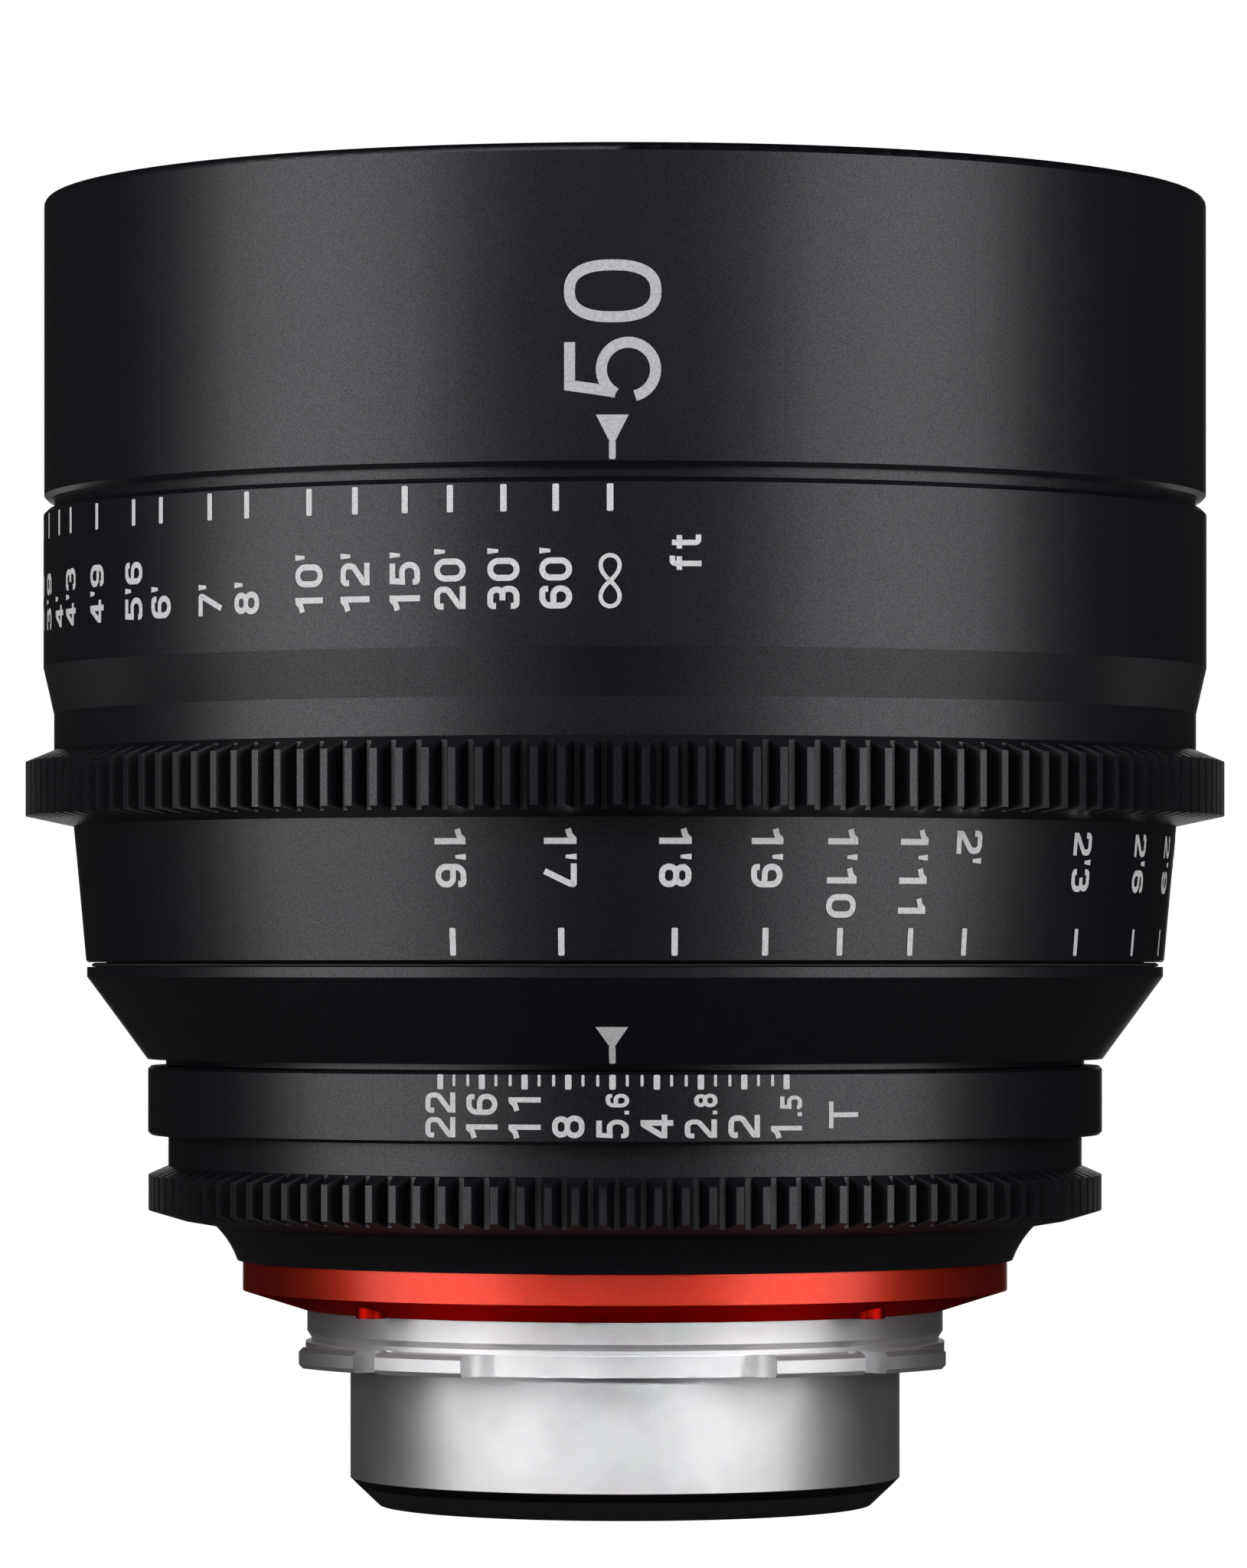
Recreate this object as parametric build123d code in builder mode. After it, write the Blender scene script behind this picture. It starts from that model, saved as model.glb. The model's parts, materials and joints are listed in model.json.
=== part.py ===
from build123d import *
from math import asin, atan2, copysign, cos, degrees, hypot, pi, radians, sin, sqrt, tan
import os

# Cinema prime lens with a four-lug positive-lock mount. Millimetres, +Z along the optical axis.
# The origin is the centre of the mount's seating plane, the front is up, the index marks face -Y.
# The distance ring stands at infinity and the iris ring at the middle of its scale.

# Fits and cutting
turn_play = 0.05
seat_play = 0.02
face_play = 0.05
free_play = 0.3
overrun = 1.0

# Camera mount
tube_r = 27.0
tube_h = 11.3
tube_bevel = 0.85
tube_wall = 2.4
lug_reach = 7.6
lug_h = 2.05
lug_edge = 0.42
lug_angle = 38.8
lug_count = 4
gap_floor_step = 4.4
gap_corner_r = 2.5
index_slot_w = 3.05
index_slot_step = 3.4
relief_depth = 0.39
relief_h = 0.45
relief_cone_h = 0.6
neck_step = 4.24
mount_h = 5.2
ledge_h = 3.7
ledge_w = 4.7
shim_h = 0.2
mount_screw_inset = 2.3
mount_screw_count = 6
mount_screw_r = 1.0
mount_screw_head_r = 1.8
mount_screw_head_h = 1.5
mount_screw_h = 9.0

# Black rear insert
insert_end_step = 0.4
insert_nose_h = 1.85
insert_wall = 1.8
insert_lip_h = 3.4
insert_h = 11.0
insert_bore_gap = 1.0

# Red ring and rear collar
boss_step = 1.24
red_overhang = 2.96
red_lip_step = 0.46
red_cone_h = 1.85
red_h = 4.75
red_screw_inset = 3.6
red_screw_r = 0.8
red_screw_head_r = 1.45
red_screw_head_z = 1.15
red_screw_h = 4.2
collar_seat_step = 4.0
collar_step = 0.54
collar_flare = 2.2
collar_hollow_r = 9.0
collar_h = 3.4
collar_web_h = 0.85

# Gears, both of the same module
gear_module = 0.8
pressure_angle = 20.0
root_depth_share = 1.25
focus_tooth_angle = 1.064
iris_tooth_angle = 0.95
focus_gear_rise = 3.9
iris_gear_rise = 2.5

# Iris ring
iris_lip_w = 2.0
iris_lip_h = 1.4
iris_wall = 3.0
iris_rear_bevel_h = 0.5
iris_gear_rear_h = 0.98
iris_gear_w = 3.45
iris_gear_front_h = 0.87
iris_recess_step = 1.35
iris_recess_h = 3.05
iris_scale_step = 1.99
iris_scale_h = 6.75
iris_scale_edge = 0.3
iris_half_throw = 20.0

# Fixed rear barrel
rear_gap_h = 0.1
rear_boss_wall = 4.6
rear_step_h = 0.55
rear_cone_step = 0.06
rear_cone_h = 8.05
rear_band_step = 0.1
rear_band_h = 0.95
spigot_wall = 7.7
spigot_h = 5.25
glide_groove_h = 1.6
glide_groove_depth = 0.8
rear_screw_r = 1.25
rear_screw_count = 3
rear_screw_angle = 90.0
rear_screw_inset = 0.4

# Focus ring, its gear and its near-distance scale ring
skirt_gap_h = 0.45
skirt_wall = 1.9
skirt_flare = 1.2
skirt_h = 13.3
skirt_edge = 0.2
sleeve_wall = 2.5
sleeve_gap = 0.3
focus_gear_rear_h = 1.0
focus_gear_w = 5.25
focus_gear_front_h = 1.15
waist_wall = 5.03
waist_h = 3.55
flare_h = 4.5
grip_rise = 1.02
grip_h = 15.4
ring_edge = 0.45
ring_wall = 3.75
waist_thick = 3.03
ring_floor_h = 3.05
web_bore_gap = 0.3
web_h = 3.0
web_depth = 8.4
focus_throw = 200.0

# Front barrel
groove_h = 1.0
front_rise = 0.97
front_h = 29.45
front_wall = 3.0
rim_round_share = 0.5
thread_wall = 1.54
thread_h = 5.35
baffle_seat_wall = 2.45
baffle_seat_h = 1.5
front_spigot_gap = 0.8
front_spigot_h = 4.4
front_web_h = 5.4
front_web_bore_gap = 1.5
glide_inset = 1.0
front_screw_inset = 6.5
front_screw_count = 6
front_screw_r = 1.25
front_screw_head_r = 2.3
front_screw_head_h = 1.6
front_screw_h = 6.8

# Stepped front baffle
baffle_brim_w = 4.0
baffle_mouth_gap = 0.8
baffle_wall = 1.5
baffle_drop = 16.4
baffle_steps = 8

# Inner barrel
barrel_wall = 3.5
barrel_bore_step = 7.0
barrel_floor_h = 10.0
flange_h = 4.0
flange_inset = 0.3
flange_gap_h = 1.0

# Focus cam, its followers and stop
cam_wall = 3.45
cam_flange_h = 3.0
cam_flange_play = 0.3
cam_screw_inset = 1.95
cam_screw_count = 6
cam_screw_r = 0.8
cam_screw_head_r = 1.5
cam_screw_head_h = 1.4
cam_screw_h = 4.4
focus_travel = 7.5
follower_count = 3
follower_angle = 30.0
follower_r = 1.3
follower_play = 0.07
follower_root_depth = 3.6
follower_short = 0.4
cam_end_angle = 2.6
stop_inset = 5.3
stop_pin_r = 1.0
stop_groove_h = 1.3
stop_angle = 90.0
stop_end_angle = 0.5

# Lens cells
nose_gap = 0.9
nose_wall = 1.5
rear_body_step = 3.0
cell_flange_gap = 3.5
cell_flange_h = 2.0
cell_stop_gap = 0.25
land_h = 12.0
land_rise = 5.95
follower_rise = 4.0
cell_neck_step = 0.5
cell_nose_step = 2.5
cell_nose_h = 9.5
cell_front_margin = 4.2
guard_reach = 3.48
guard_lap_h = 3.0
guard_lap_w = 0.75
rear_shoulder_w = 1.2
front_shoulder_gap = 0.2
front_clear_gap = 1.4

# Glass. A curve share is a surface's radius over its glass's radius, positive where the
# surface's centre lies towards the camera.
front_group_rise = 5.5
rear_group_drop = 22.0
cement_play = 0.02
glass_1_wall = 3.0
glass_2_step = 2.0
glass_3_step = 4.0
glass_5_wall = 3.0
glass_1_land = 2.5
glass_4_land = 4.0
glass_5_land = 3.0
glass_8_land = 2.0
glass_1 = 4.0
glass_2 = 8.5
glass_3 = 8.0
glass_4 = 2.5
glass_5 = 2.2
glass_6 = 11.0
glass_7 = 6.5
glass_8 = 2.0
glass_9 = 6.5
air_1 = 8.0
air_2 = 1.5
air_6 = 1.5
air_8 = 3.3
curve_1_share = 5.36
curve_2_share = 2.14
curve_3_share = 2.69
curve_4_share = -11.5
curve_5_share = 1.73
curve_6_share = 5.45
curve_7_share = 1.18
curve_8_share = -1.37
curve_9_share = 2.63
curve_10_share = -2.1
curve_11_share = 5.14
curve_12_share = -3.43
curve_13_share = 4.57
curve_14_share = 3.14
curve_15_share = -8.57
retainer_w = 1.5
retainer_h = 2.0
spacer_w = 2.4

# Iris
blade_count = 11
blade_inner_step = 8.8
blade_outer_step = 2.0
blade_arc = 112.0
blade_lead_angle = 2.5
blade_thick = 0.1
blade_pitch = 0.14
pivot_inset = 4.7
blade_swing = 34.4
tab_r = 2.6
lever = 5.0
lever_w = 2.4
pin_r = 0.5
pin_play = 0.05
slot_play = 0.08
housing_bore_step = 0.5
housing_wall = 1.8
housing_step = 2.5
plate_h = 1.6
cover_h = 1.2
actuator_h = 1.4
actuator_bore_step = 1.2
actuator_gap = 0.5
stack_play = 0.06
slot_end_angle = 1.2

# Iris drive
arm_angle = 60.0
arm_w = 3.0
arm_h = 4.0
arm_z_gap = 0.3
arm_gap = 0.5
arm_bar = 1.8
arm_root_depth = 1.95
fork_w = 7.0
fork_reach = 0.4
fork_play = 0.06
window_play = 0.1
window_end_angle = 1.0


# Radii of the mount and of what fits inside its tube
tube_bore_r = tube_r - tube_wall
lug_r = tube_r + lug_reach
gap_floor_r = tube_r + gap_floor_step
index_slot_floor_r = tube_r + index_slot_step
neck_r = tube_r + neck_step
relief_r = neck_r - relief_depth
ledge_bore_r = tube_bore_r - ledge_w
mount_screw_ring_r = ledge_bore_r + mount_screw_inset
nose_r = ledge_bore_r - nose_gap
rear_bore_r = nose_r - nose_wall
rear_shoulder_r = rear_bore_r - rear_shoulder_w
rear_body_r = nose_r + rear_body_step
insert_end_r = tube_bore_r - insert_end_step
insert_bore_r = nose_r + insert_bore_gap

# Radii of the carrying parts, outwards from the mount's neck
boss_r = neck_r - boss_step
barrel_bore_r = boss_r + barrel_bore_step
barrel_r = barrel_bore_r + barrel_wall
collar_seat_r = boss_r + collar_seat_step
red_r = lug_r + red_overhang
red_lip_r = neck_r + red_lip_step
red_screw_ring_r = boss_r + red_screw_inset
collar_rear_r = red_r + collar_step
collar_front_r = collar_rear_r + collar_flare
iris_bearing_r = barrel_r - iris_lip_w
iris_seat_r = barrel_r + iris_wall
iris_recess_r = iris_seat_r + iris_recess_step
iris_scale_r = iris_recess_r + iris_scale_step
iris_teeth = round(2 * (iris_seat_r + iris_gear_rise) / gear_module)
spigot_r = barrel_r + spigot_wall
sleeve_bore_r = spigot_r + sleeve_gap
sleeve_r = sleeve_bore_r + sleeve_wall
skirt_rear_r = sleeve_r + skirt_wall
skirt_front_r = skirt_rear_r + skirt_flare
focus_teeth = round(2 * (skirt_front_r + focus_gear_rise) / gear_module)
rear_boss_r = barrel_r + rear_boss_wall
rear_cone_small_r = iris_scale_r + rear_cone_step
rear_band_r = skirt_rear_r - rear_band_step
waist_r = sleeve_r + waist_wall
grip_r = waist_r + grip_rise
front_r = waist_r + front_rise
ring_bore_r = grip_r - ring_wall
ring_step_r = waist_r - waist_thick
front_spigot_r = ring_bore_r - front_spigot_gap
flange_r = front_spigot_r - flange_inset
front_wall_r = front_r - front_wall
thread_r = front_r - thread_wall
baffle_seat_r = front_r - baffle_seat_wall
glide_r = front_r - glide_inset
front_web_bore_r = barrel_r + front_web_bore_gap
front_screw_ring_r = barrel_r + front_screw_inset
cam_bore_r = barrel_r + turn_play
cam_r = cam_bore_r + cam_wall
web_bore_r = cam_r + web_bore_gap
cam_screw_ring_r = web_bore_r + cam_screw_inset
stop_ring_r = web_bore_r + stop_inset

# Radii of the cells, the glass and the iris, inwards from the barrel
land_r = barrel_bore_r - turn_play
cell_flange_r = barrel_bore_r - cell_flange_gap
cell_neck_r = cell_flange_r - cell_neck_step
cell_nose_r = cell_flange_r - cell_nose_step
arm_inner_r = cell_flange_r + arm_gap
baffle_brim_r = front_wall_r - baffle_brim_w
baffle_mouth_r = cell_nose_r + baffle_mouth_gap
glass_1_r = cell_nose_r - glass_1_wall
glass_2_r = glass_1_r - glass_2_step
glass_3_r = glass_2_r - glass_3_step
glass_5_r = rear_body_r - glass_5_wall
glass_1_clear_r = glass_1_r - glass_1_land
glass_4_clear_r = glass_3_r - glass_4_land
glass_5_clear_r = glass_5_r - glass_5_land
glass_8_clear_r = rear_bore_r - glass_8_land
housing_r = cell_flange_r - housing_step
actuator_r = housing_r - housing_wall - actuator_gap
pivot_r = actuator_r - pivot_inset
blade_outer_r = pivot_r - blade_outer_step
blade_inner_r = pivot_r - blade_inner_step
actuator_bore_r = pivot_r - actuator_bore_step
housing_bore_r = blade_inner_r + housing_bore_step
front_shoulder_r = glass_4_clear_r + front_shoulder_gap
front_clear_r = blade_inner_r + front_clear_gap

# Radii of the glass surfaces
curve_1 = glass_1_r * curve_1_share
curve_2 = glass_1_r * curve_2_share
curve_3 = glass_2_r * curve_3_share
curve_4 = glass_2_r * curve_4_share
curve_5 = glass_3_r * curve_5_share
curve_6 = glass_3_r * curve_6_share
curve_7 = glass_3_r * curve_7_share
curve_8 = glass_5_r * curve_8_share
curve_9 = glass_5_r * curve_9_share
curve_10 = glass_5_r * curve_10_share
curve_11 = rear_bore_r * curve_11_share
curve_12 = rear_bore_r * curve_12_share
curve_13 = rear_bore_r * curve_13_share
curve_14 = rear_bore_r * curve_14_share
curve_15 = rear_bore_r * curve_15_share

# Heights of the outside, from the seat to the front
body_z = mount_h + shim_h
red_z = mount_h + face_play
red_top = red_z + red_h
collar_z = red_top + face_play
collar_top = collar_z + collar_h
iris_z = collar_top + face_play
iris_gear_z = iris_z + iris_rear_bevel_h
iris_gear_top = iris_gear_z + iris_gear_rear_h + iris_gear_w + iris_gear_front_h
iris_scale_z = iris_gear_top + iris_recess_h
iris_top = iris_scale_z + iris_scale_h
rear_z = iris_top + rear_gap_h
rear_cone_z = rear_z + rear_step_h
rear_band_z = rear_cone_z + rear_cone_h
rear_top = rear_band_z + rear_band_h
skirt_z = rear_top + skirt_gap_h
skirt_top = skirt_z + skirt_h
focus_gear_top = skirt_top + focus_gear_rear_h + focus_gear_w + focus_gear_front_h
flare_z = focus_gear_top + waist_h
grip_z = flare_z + flare_h
grip_top = grip_z + grip_h
front_z = grip_top + groove_h
front_top = front_z + front_h

# Heights of the carrying parts
web_top = grip_top - web_depth
web_z = web_top - web_h
flange_z = web_top + flange_gap_h
flange_top = flange_z + flange_h
spigot_top = rear_top + spigot_h
cam_z = spigot_top + face_play
floor_top = body_z + barrel_floor_h
land_z = cam_z + land_rise
front_group_z = land_z + front_group_rise
rear_group_z = land_z - rear_group_drop
thread_z = front_top - thread_h
baffle_seat_z = thread_z - baffle_seat_h

# Heights of the iris stack
iris_base_z = rear_group_z + (glass_5_clear_r**2) / (abs(curve_8) + sqrt(curve_8**2 - glass_5_clear_r**2))
iris_base_z = iris_base_z + retainer_h + face_play
blade_z = iris_base_z + plate_h + stack_play
actuator_z = blade_z + (blade_count - 1) * blade_pitch + blade_thick + stack_play
cover_z = actuator_z + actuator_h + stack_play
cell_ledge_z = cover_z + cover_h

# Iris motion
blade_ratio = blade_swing / (2 * iris_half_throw)
rest_swing = blade_swing / 2
blade_span = blade_arc + blade_lead_angle
slot_r = pin_r + slot_play


def surface_z(vertex_z, curve, r):
    """Height of a spherical glass surface at the distance r from the axis."""
    return vertex_z - curve + copysign(sqrt(curve**2 - r**2), curve)


def section(*points):
    """A closed outline of radius and height points, to be turned about the axis."""
    with BuildSketch(Plane.XZ) as outline:
        with BuildLine():
            Polyline(*points, close=True)
        make_face()
    return outline.sketch


def ring_section(inner_r, outer_r, low_z, high_z):
    """The outline of a plain ring."""
    return section((inner_r, low_z), (outer_r, low_z), (outer_r, high_z), (inner_r, high_z))


def pegs(low_z, height, radius, ring_r, count, first_angle=0.0):
    """Round pegs along the axis, evenly spaced on a circle."""
    with BuildSketch(Plane.XY.offset(low_z)) as foot:
        with PolarLocations(ring_r, count, first_angle):
            Circle(radius)
    return extrude(foot.sketch, amount=height, mode=Mode.PRIVATE)


def spokes(z, inner_r, outer_r, radius, count, first_angle):
    """Round pegs that point away from the axis, evenly spaced round it."""
    made = []
    for i in range(count):
        angle = radians(first_angle + i * 360 / count)
        outwards = (cos(angle), sin(angle), 0)
        with BuildSketch(Plane(origin=(0, 0, z), z_dir=outwards).offset(inner_r)) as foot:
            Circle(radius)
        made.append(extrude(foot.sketch, amount=outer_r - inner_r, mode=Mode.PRIVATE))
    return made


def arc_block(inner_r, outer_r, half_angle, low_z, height, middle_angle=0.0, corner_r=0.0):
    """A block between two radii and two heights, half_angle to each side of its middle."""
    first_angle = middle_angle - half_angle
    with BuildSketch(Plane.XY.offset(low_z)) as foot:
        with BuildLine():
            inner = CenterArc((0, 0), inner_r, first_angle, 2 * half_angle)
            outer = CenterArc((0, 0), outer_r, first_angle, 2 * half_angle)
            Line(inner @ 0, outer @ 0)
            Line(inner @ 1, outer @ 1)
        make_face()
        if corner_r:
            corners = foot.vertices().sort_by(lambda v: hypot(v.X, v.Y))[:2]
            fillet(corners, corner_r)
    return extrude(foot.sketch, amount=height, mode=Mode.PRIVATE)


def radial_bar(inner_r, outer_r, width, low_z, height, angle):
    """A straight bar that points away from the axis."""
    with BuildSketch(Plane.XY.offset(low_z)) as foot:
        with PolarLocations((inner_r + outer_r) / 2, 1, angle):
            Rectangle(outer_r - inner_r, width)
    return extrude(foot.sketch, amount=height, mode=Mode.PRIVATE)


def tooth_gaps(teeth, start_angle, low_z, high_z):
    """The gaps between the teeth of a gear, straight-flanked, as cutting tools."""
    pitch_r = gear_module * teeth / 2
    root_r = pitch_r - root_depth_share * gear_module
    slope = tan(radians(pressure_angle))
    half_w = pi * gear_module / 4
    cut_r = pitch_r + gear_module + overrun
    root_half_w = half_w - (pitch_r - root_r) * slope
    cut_half_w = half_w + (cut_r - pitch_r) * slope
    with BuildSketch(Plane.XY.offset(low_z)) as foot:
        with PolarLocations(0, teeth, start_angle):
            Polygon(
                (root_r, -root_half_w),
                (cut_r, -cut_half_w),
                (cut_r, cut_half_w),
                (root_r, root_half_w),
                align=None,
            )
    return extrude(foot.sketch, amount=high_z - low_z, mode=Mode.PRIVATE)


def glass(front_z, front_curve, front_clear_r, rear_z, rear_curve, rear_clear_r, edge_r):
    """One glass element. Outside its clear radius a surface is ground flat to the edge."""
    front_edge_z = surface_z(front_z, front_curve, front_clear_r)
    rear_edge_z = surface_z(rear_z, rear_curve, rear_clear_r)
    with BuildPart() as element:
        with BuildSketch(Plane.XZ):
            with BuildLine():
                front_mid_z = surface_z(front_z, front_curve, front_clear_r / 2)
                rear_mid_z = surface_z(rear_z, rear_curve, rear_clear_r / 2)
                ThreePointArc(
                    (0, front_z),
                    (front_clear_r / 2, front_mid_z),
                    (front_clear_r, front_edge_z),
                )
                if edge_r > front_clear_r:
                    Line((front_clear_r, front_edge_z), (edge_r, front_edge_z))
                Line((edge_r, front_edge_z), (edge_r, rear_edge_z))
                if edge_r > rear_clear_r:
                    Line((edge_r, rear_edge_z), (rear_clear_r, rear_edge_z))
                ThreePointArc(
                    (rear_clear_r, rear_edge_z),
                    (rear_clear_r / 2, rear_mid_z),
                    (0, rear_z),
                )
                Line((0, rear_z), (0, front_z))
            make_face()
        revolve(axis=Axis.Z)
    return element.part


pieces = {}


def keep(name, shape):
    """Labels a finished piece and lists it for export."""
    shape.label = name
    pieces[name] = shape


# Camera mount: seating flange with four lugs, location tube and inner ledge
neck_z = lug_h + relief_h + relief_cone_h
with BuildPart() as pl_mount:
    revolve(
        section(
            (tube_bore_r, -tube_h - tube_bevel),
            (tube_r - tube_bevel, -tube_h - tube_bevel),
            (tube_r, -tube_h),
            (tube_r, 0),
            (lug_r - lug_edge, 0),
            (lug_r, lug_edge),
            (lug_r, lug_h - lug_edge),
            (lug_r - lug_edge, lug_h),
            (relief_r, lug_h),
            (relief_r, lug_h + relief_h),
            (neck_r, neck_z),
            (neck_r, mount_h),
            (ledge_bore_r, mount_h),
            (ledge_bore_r, mount_h - ledge_h),
            (tube_bore_r, mount_h - ledge_h),
        ),
        axis=Axis.Z,
    )
    gap_half_angle = (360 / lug_count - lug_angle) / 2
    slot_round_r = index_slot_floor_r + index_slot_w / 2
    for i in range(lug_count):
        add(
            arc_block(
                gap_floor_r,
                lug_r + overrun,
                gap_half_angle,
                -overrun,
                lug_h + overrun,
                i * 360 / lug_count,
                gap_corner_r,
            ),
            mode=Mode.SUBTRACT,
        )
    with BuildSketch(Plane.XY):
        with PolarLocations(slot_round_r, lug_count, 180 / lug_count):
            Circle(index_slot_w / 2)
        with PolarLocations((slot_round_r + lug_r + overrun) / 2, lug_count, 180 / lug_count):
            Rectangle(lug_r + overrun - slot_round_r, index_slot_w)
    extrude(amount=lug_h, mode=Mode.SUBTRACT)
    add(
        pegs(0, mount_h + overrun, mount_screw_r + seat_play, mount_screw_ring_r, mount_screw_count),
        mode=Mode.SUBTRACT,
    )
keep("pl_mount", pl_mount.part)

# Shim that sets the distance from flange to film
with BuildPart() as flange_shim:
    revolve(ring_section(ledge_bore_r, boss_r, mount_h, body_z), axis=Axis.Z)
    add(
        pegs(mount_h, shim_h, mount_screw_r + seat_play, mount_screw_ring_r, mount_screw_count),
        mode=Mode.SUBTRACT,
    )
keep("flange_shim", flange_shim.part)

# Mount screws, heads towards the camera
ledge_z = mount_h - ledge_h
with BuildPart() as mount_screws:
    add(pegs(ledge_z, mount_screw_h, mount_screw_r, mount_screw_ring_r, mount_screw_count))
    add(
        pegs(
            ledge_z - mount_screw_head_h,
            mount_screw_head_h,
            mount_screw_head_r,
            mount_screw_ring_r,
            mount_screw_count,
        )
    )
keep("mount_screws", mount_screws.part)

# Black insert in the end of the tube
insert_r = tube_bore_r - seat_play
tube_end_z = -tube_h - tube_bevel
insert_end_z = tube_end_z - insert_nose_h
with BuildPart() as rear_baffle:
    revolve(
        section(
            (insert_bore_r, insert_end_z),
            (insert_end_r, insert_end_z),
            (tube_r - tube_bevel, tube_end_z),
            (insert_r, tube_end_z),
            (insert_r, insert_end_z + insert_h),
            (insert_r - insert_wall, insert_end_z + insert_h),
            (insert_r - insert_wall, insert_end_z + insert_lip_h),
            (insert_bore_r, insert_end_z + insert_lip_h),
        ),
        axis=Axis.Z,
    )
keep("rear_baffle", rear_baffle.part)

# Red ring, with a pocket for each of its screws in the cone behind the lug slots
red_pocket_z = red_z + red_screw_head_z
with BuildPart() as red_ring:
    revolve(
        section(
            (boss_r + seat_play, red_z),
            (red_lip_r, red_z),
            (red_r, red_z + red_cone_h),
            (red_r, red_top),
            (boss_r + seat_play, red_top),
        ),
        axis=Axis.Z,
    )
    add(
        pegs(
            red_z - overrun,
            red_screw_head_z + overrun,
            red_screw_head_r + seat_play,
            red_screw_ring_r,
            lug_count,
            180 / lug_count,
        ),
        mode=Mode.SUBTRACT,
    )
    add(
        pegs(red_z, red_h, red_screw_r + seat_play, red_screw_ring_r, lug_count, 180 / lug_count),
        mode=Mode.SUBTRACT,
    )
keep("red_ring", red_ring.part)

with BuildPart() as red_ring_screws:
    add(
        pegs(
            red_z + seat_play,
            red_screw_head_z - seat_play,
            red_screw_head_r,
            red_screw_ring_r,
            lug_count,
            180 / lug_count,
        )
    )
    add(pegs(red_pocket_z, red_screw_h, red_screw_r, red_screw_ring_r, lug_count, 180 / lug_count))
keep("red_ring_screws", red_ring_screws.part)

# Rear collar with its hollowed flank
with BuildPart() as rear_collar:
    with BuildSketch(Plane.XZ):
        with BuildLine():
            flank = RadiusArc((collar_rear_r, collar_z), (collar_front_r, collar_top), collar_hollow_r)
            Polyline(
                flank @ 1,
                (collar_seat_r + seat_play, collar_top),
                (collar_seat_r + seat_play, collar_z + collar_web_h),
                (boss_r + seat_play, collar_z + collar_web_h),
                (boss_r + seat_play, collar_z),
                flank @ 0,
            )
        make_face()
    revolve(axis=Axis.Z)
    add(
        pegs(collar_z, collar_web_h, red_screw_r + seat_play, red_screw_ring_r, lug_count, 180 / lug_count),
        mode=Mode.SUBTRACT,
    )
keep("rear_collar", rear_collar.part)

# Inner barrel: carries every ring and guides the lens cells
iris_shoulder_z = iris_z + iris_lip_h
follower_z = land_z + follower_rise
arm_z = iris_scale_z - arm_h / 4
with BuildPart() as inner_barrel:
    revolve(
        section(
            (nose_r + turn_play, body_z),
            (boss_r, body_z),
            (boss_r, collar_z + collar_web_h),
            (collar_seat_r, collar_z + collar_web_h),
            (collar_seat_r, collar_top),
            (iris_bearing_r, collar_top),
            (iris_bearing_r, iris_shoulder_z),
            (barrel_r, iris_shoulder_z),
            (barrel_r, flange_z),
            (flange_r, flange_z),
            (flange_r, flange_top),
            (barrel_bore_r, flange_top),
            (barrel_bore_r, floor_top),
            (nose_r + turn_play, floor_top),
        ),
        axis=Axis.Z,
    )
    add(
        pegs(
            body_z,
            mount_screw_h - ledge_h - shim_h + free_play,
            mount_screw_r + seat_play,
            mount_screw_ring_r,
            mount_screw_count,
        ),
        mode=Mode.SUBTRACT,
    )
    # Guide slots for the cam followers, along the axis
    guide_r = follower_r + follower_play
    for foot_z in (follower_z, follower_z + focus_travel):
        add(
            spokes(
                foot_z,
                barrel_bore_r - overrun,
                barrel_r + overrun,
                guide_r,
                follower_count,
                follower_angle,
            ),
            mode=Mode.SUBTRACT,
        )
    for i in range(follower_count):
        add(
            radial_bar(
                barrel_bore_r - overrun,
                barrel_r + overrun,
                2 * guide_r,
                follower_z,
                focus_travel,
                follower_angle + i * 360 / follower_count,
            ),
            mode=Mode.SUBTRACT,
        )
    # Window for the iris drive arm
    arm_half_angle = degrees(asin(arm_w / 2 / arm_inner_r))
    add(
        arc_block(
            barrel_bore_r - overrun,
            barrel_r + overrun,
            iris_half_throw + arm_half_angle + window_end_angle,
            arm_z - arm_z_gap,
            arm_h + 2 * arm_z_gap,
            arm_angle,
        ),
        mode=Mode.SUBTRACT,
    )
    add(
        pegs(
            flange_top - front_screw_h + front_web_h - front_screw_head_h - free_play,
            front_screw_h,
            front_screw_r + seat_play,
            front_screw_ring_r,
            front_screw_count,
        ),
        mode=Mode.SUBTRACT,
    )
    add(
        pegs(flange_z, flange_h, stop_pin_r + seat_play, stop_ring_r, 1, stop_angle),
        mode=Mode.SUBTRACT,
    )
    add(
        spokes(
            rear_top + glide_groove_h / 2 + rear_screw_inset,
            barrel_r - (barrel_r - barrel_bore_r) / 2,
            barrel_r + overrun,
            rear_screw_r + seat_play,
            rear_screw_count,
            rear_screw_angle,
        ),
        mode=Mode.SUBTRACT,
    )
keep("inner_barrel", inner_barrel.part)

# Fixed rear barrel, with the spigot that the focus ring's sleeve turns on
groove_floor_r = spigot_r - glide_groove_depth
groove_top = spigot_top - glide_groove_h / 2
groove_z = groove_top - glide_groove_h
with BuildPart() as rear_barrel:
    revolve(
        section(
            (barrel_r + seat_play, rear_z),
            (rear_boss_r, rear_z),
            (rear_boss_r, rear_cone_z),
            (rear_cone_small_r, rear_cone_z),
            (rear_band_r, rear_band_z),
            (rear_band_r, rear_top),
            (spigot_r, rear_top),
            (spigot_r, groove_z),
            (groove_floor_r, groove_z),
            (groove_floor_r, groove_top),
            (spigot_r, groove_top),
            (spigot_r, spigot_top),
            (barrel_r + seat_play, spigot_top),
        ),
        axis=Axis.Z,
    )
    add(
        spokes(
            rear_top + glide_groove_h / 2 + rear_screw_inset,
            barrel_r - overrun,
            spigot_r + overrun,
            rear_screw_r + seat_play,
            rear_screw_count,
            rear_screw_angle,
        ),
        mode=Mode.SUBTRACT,
    )
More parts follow.
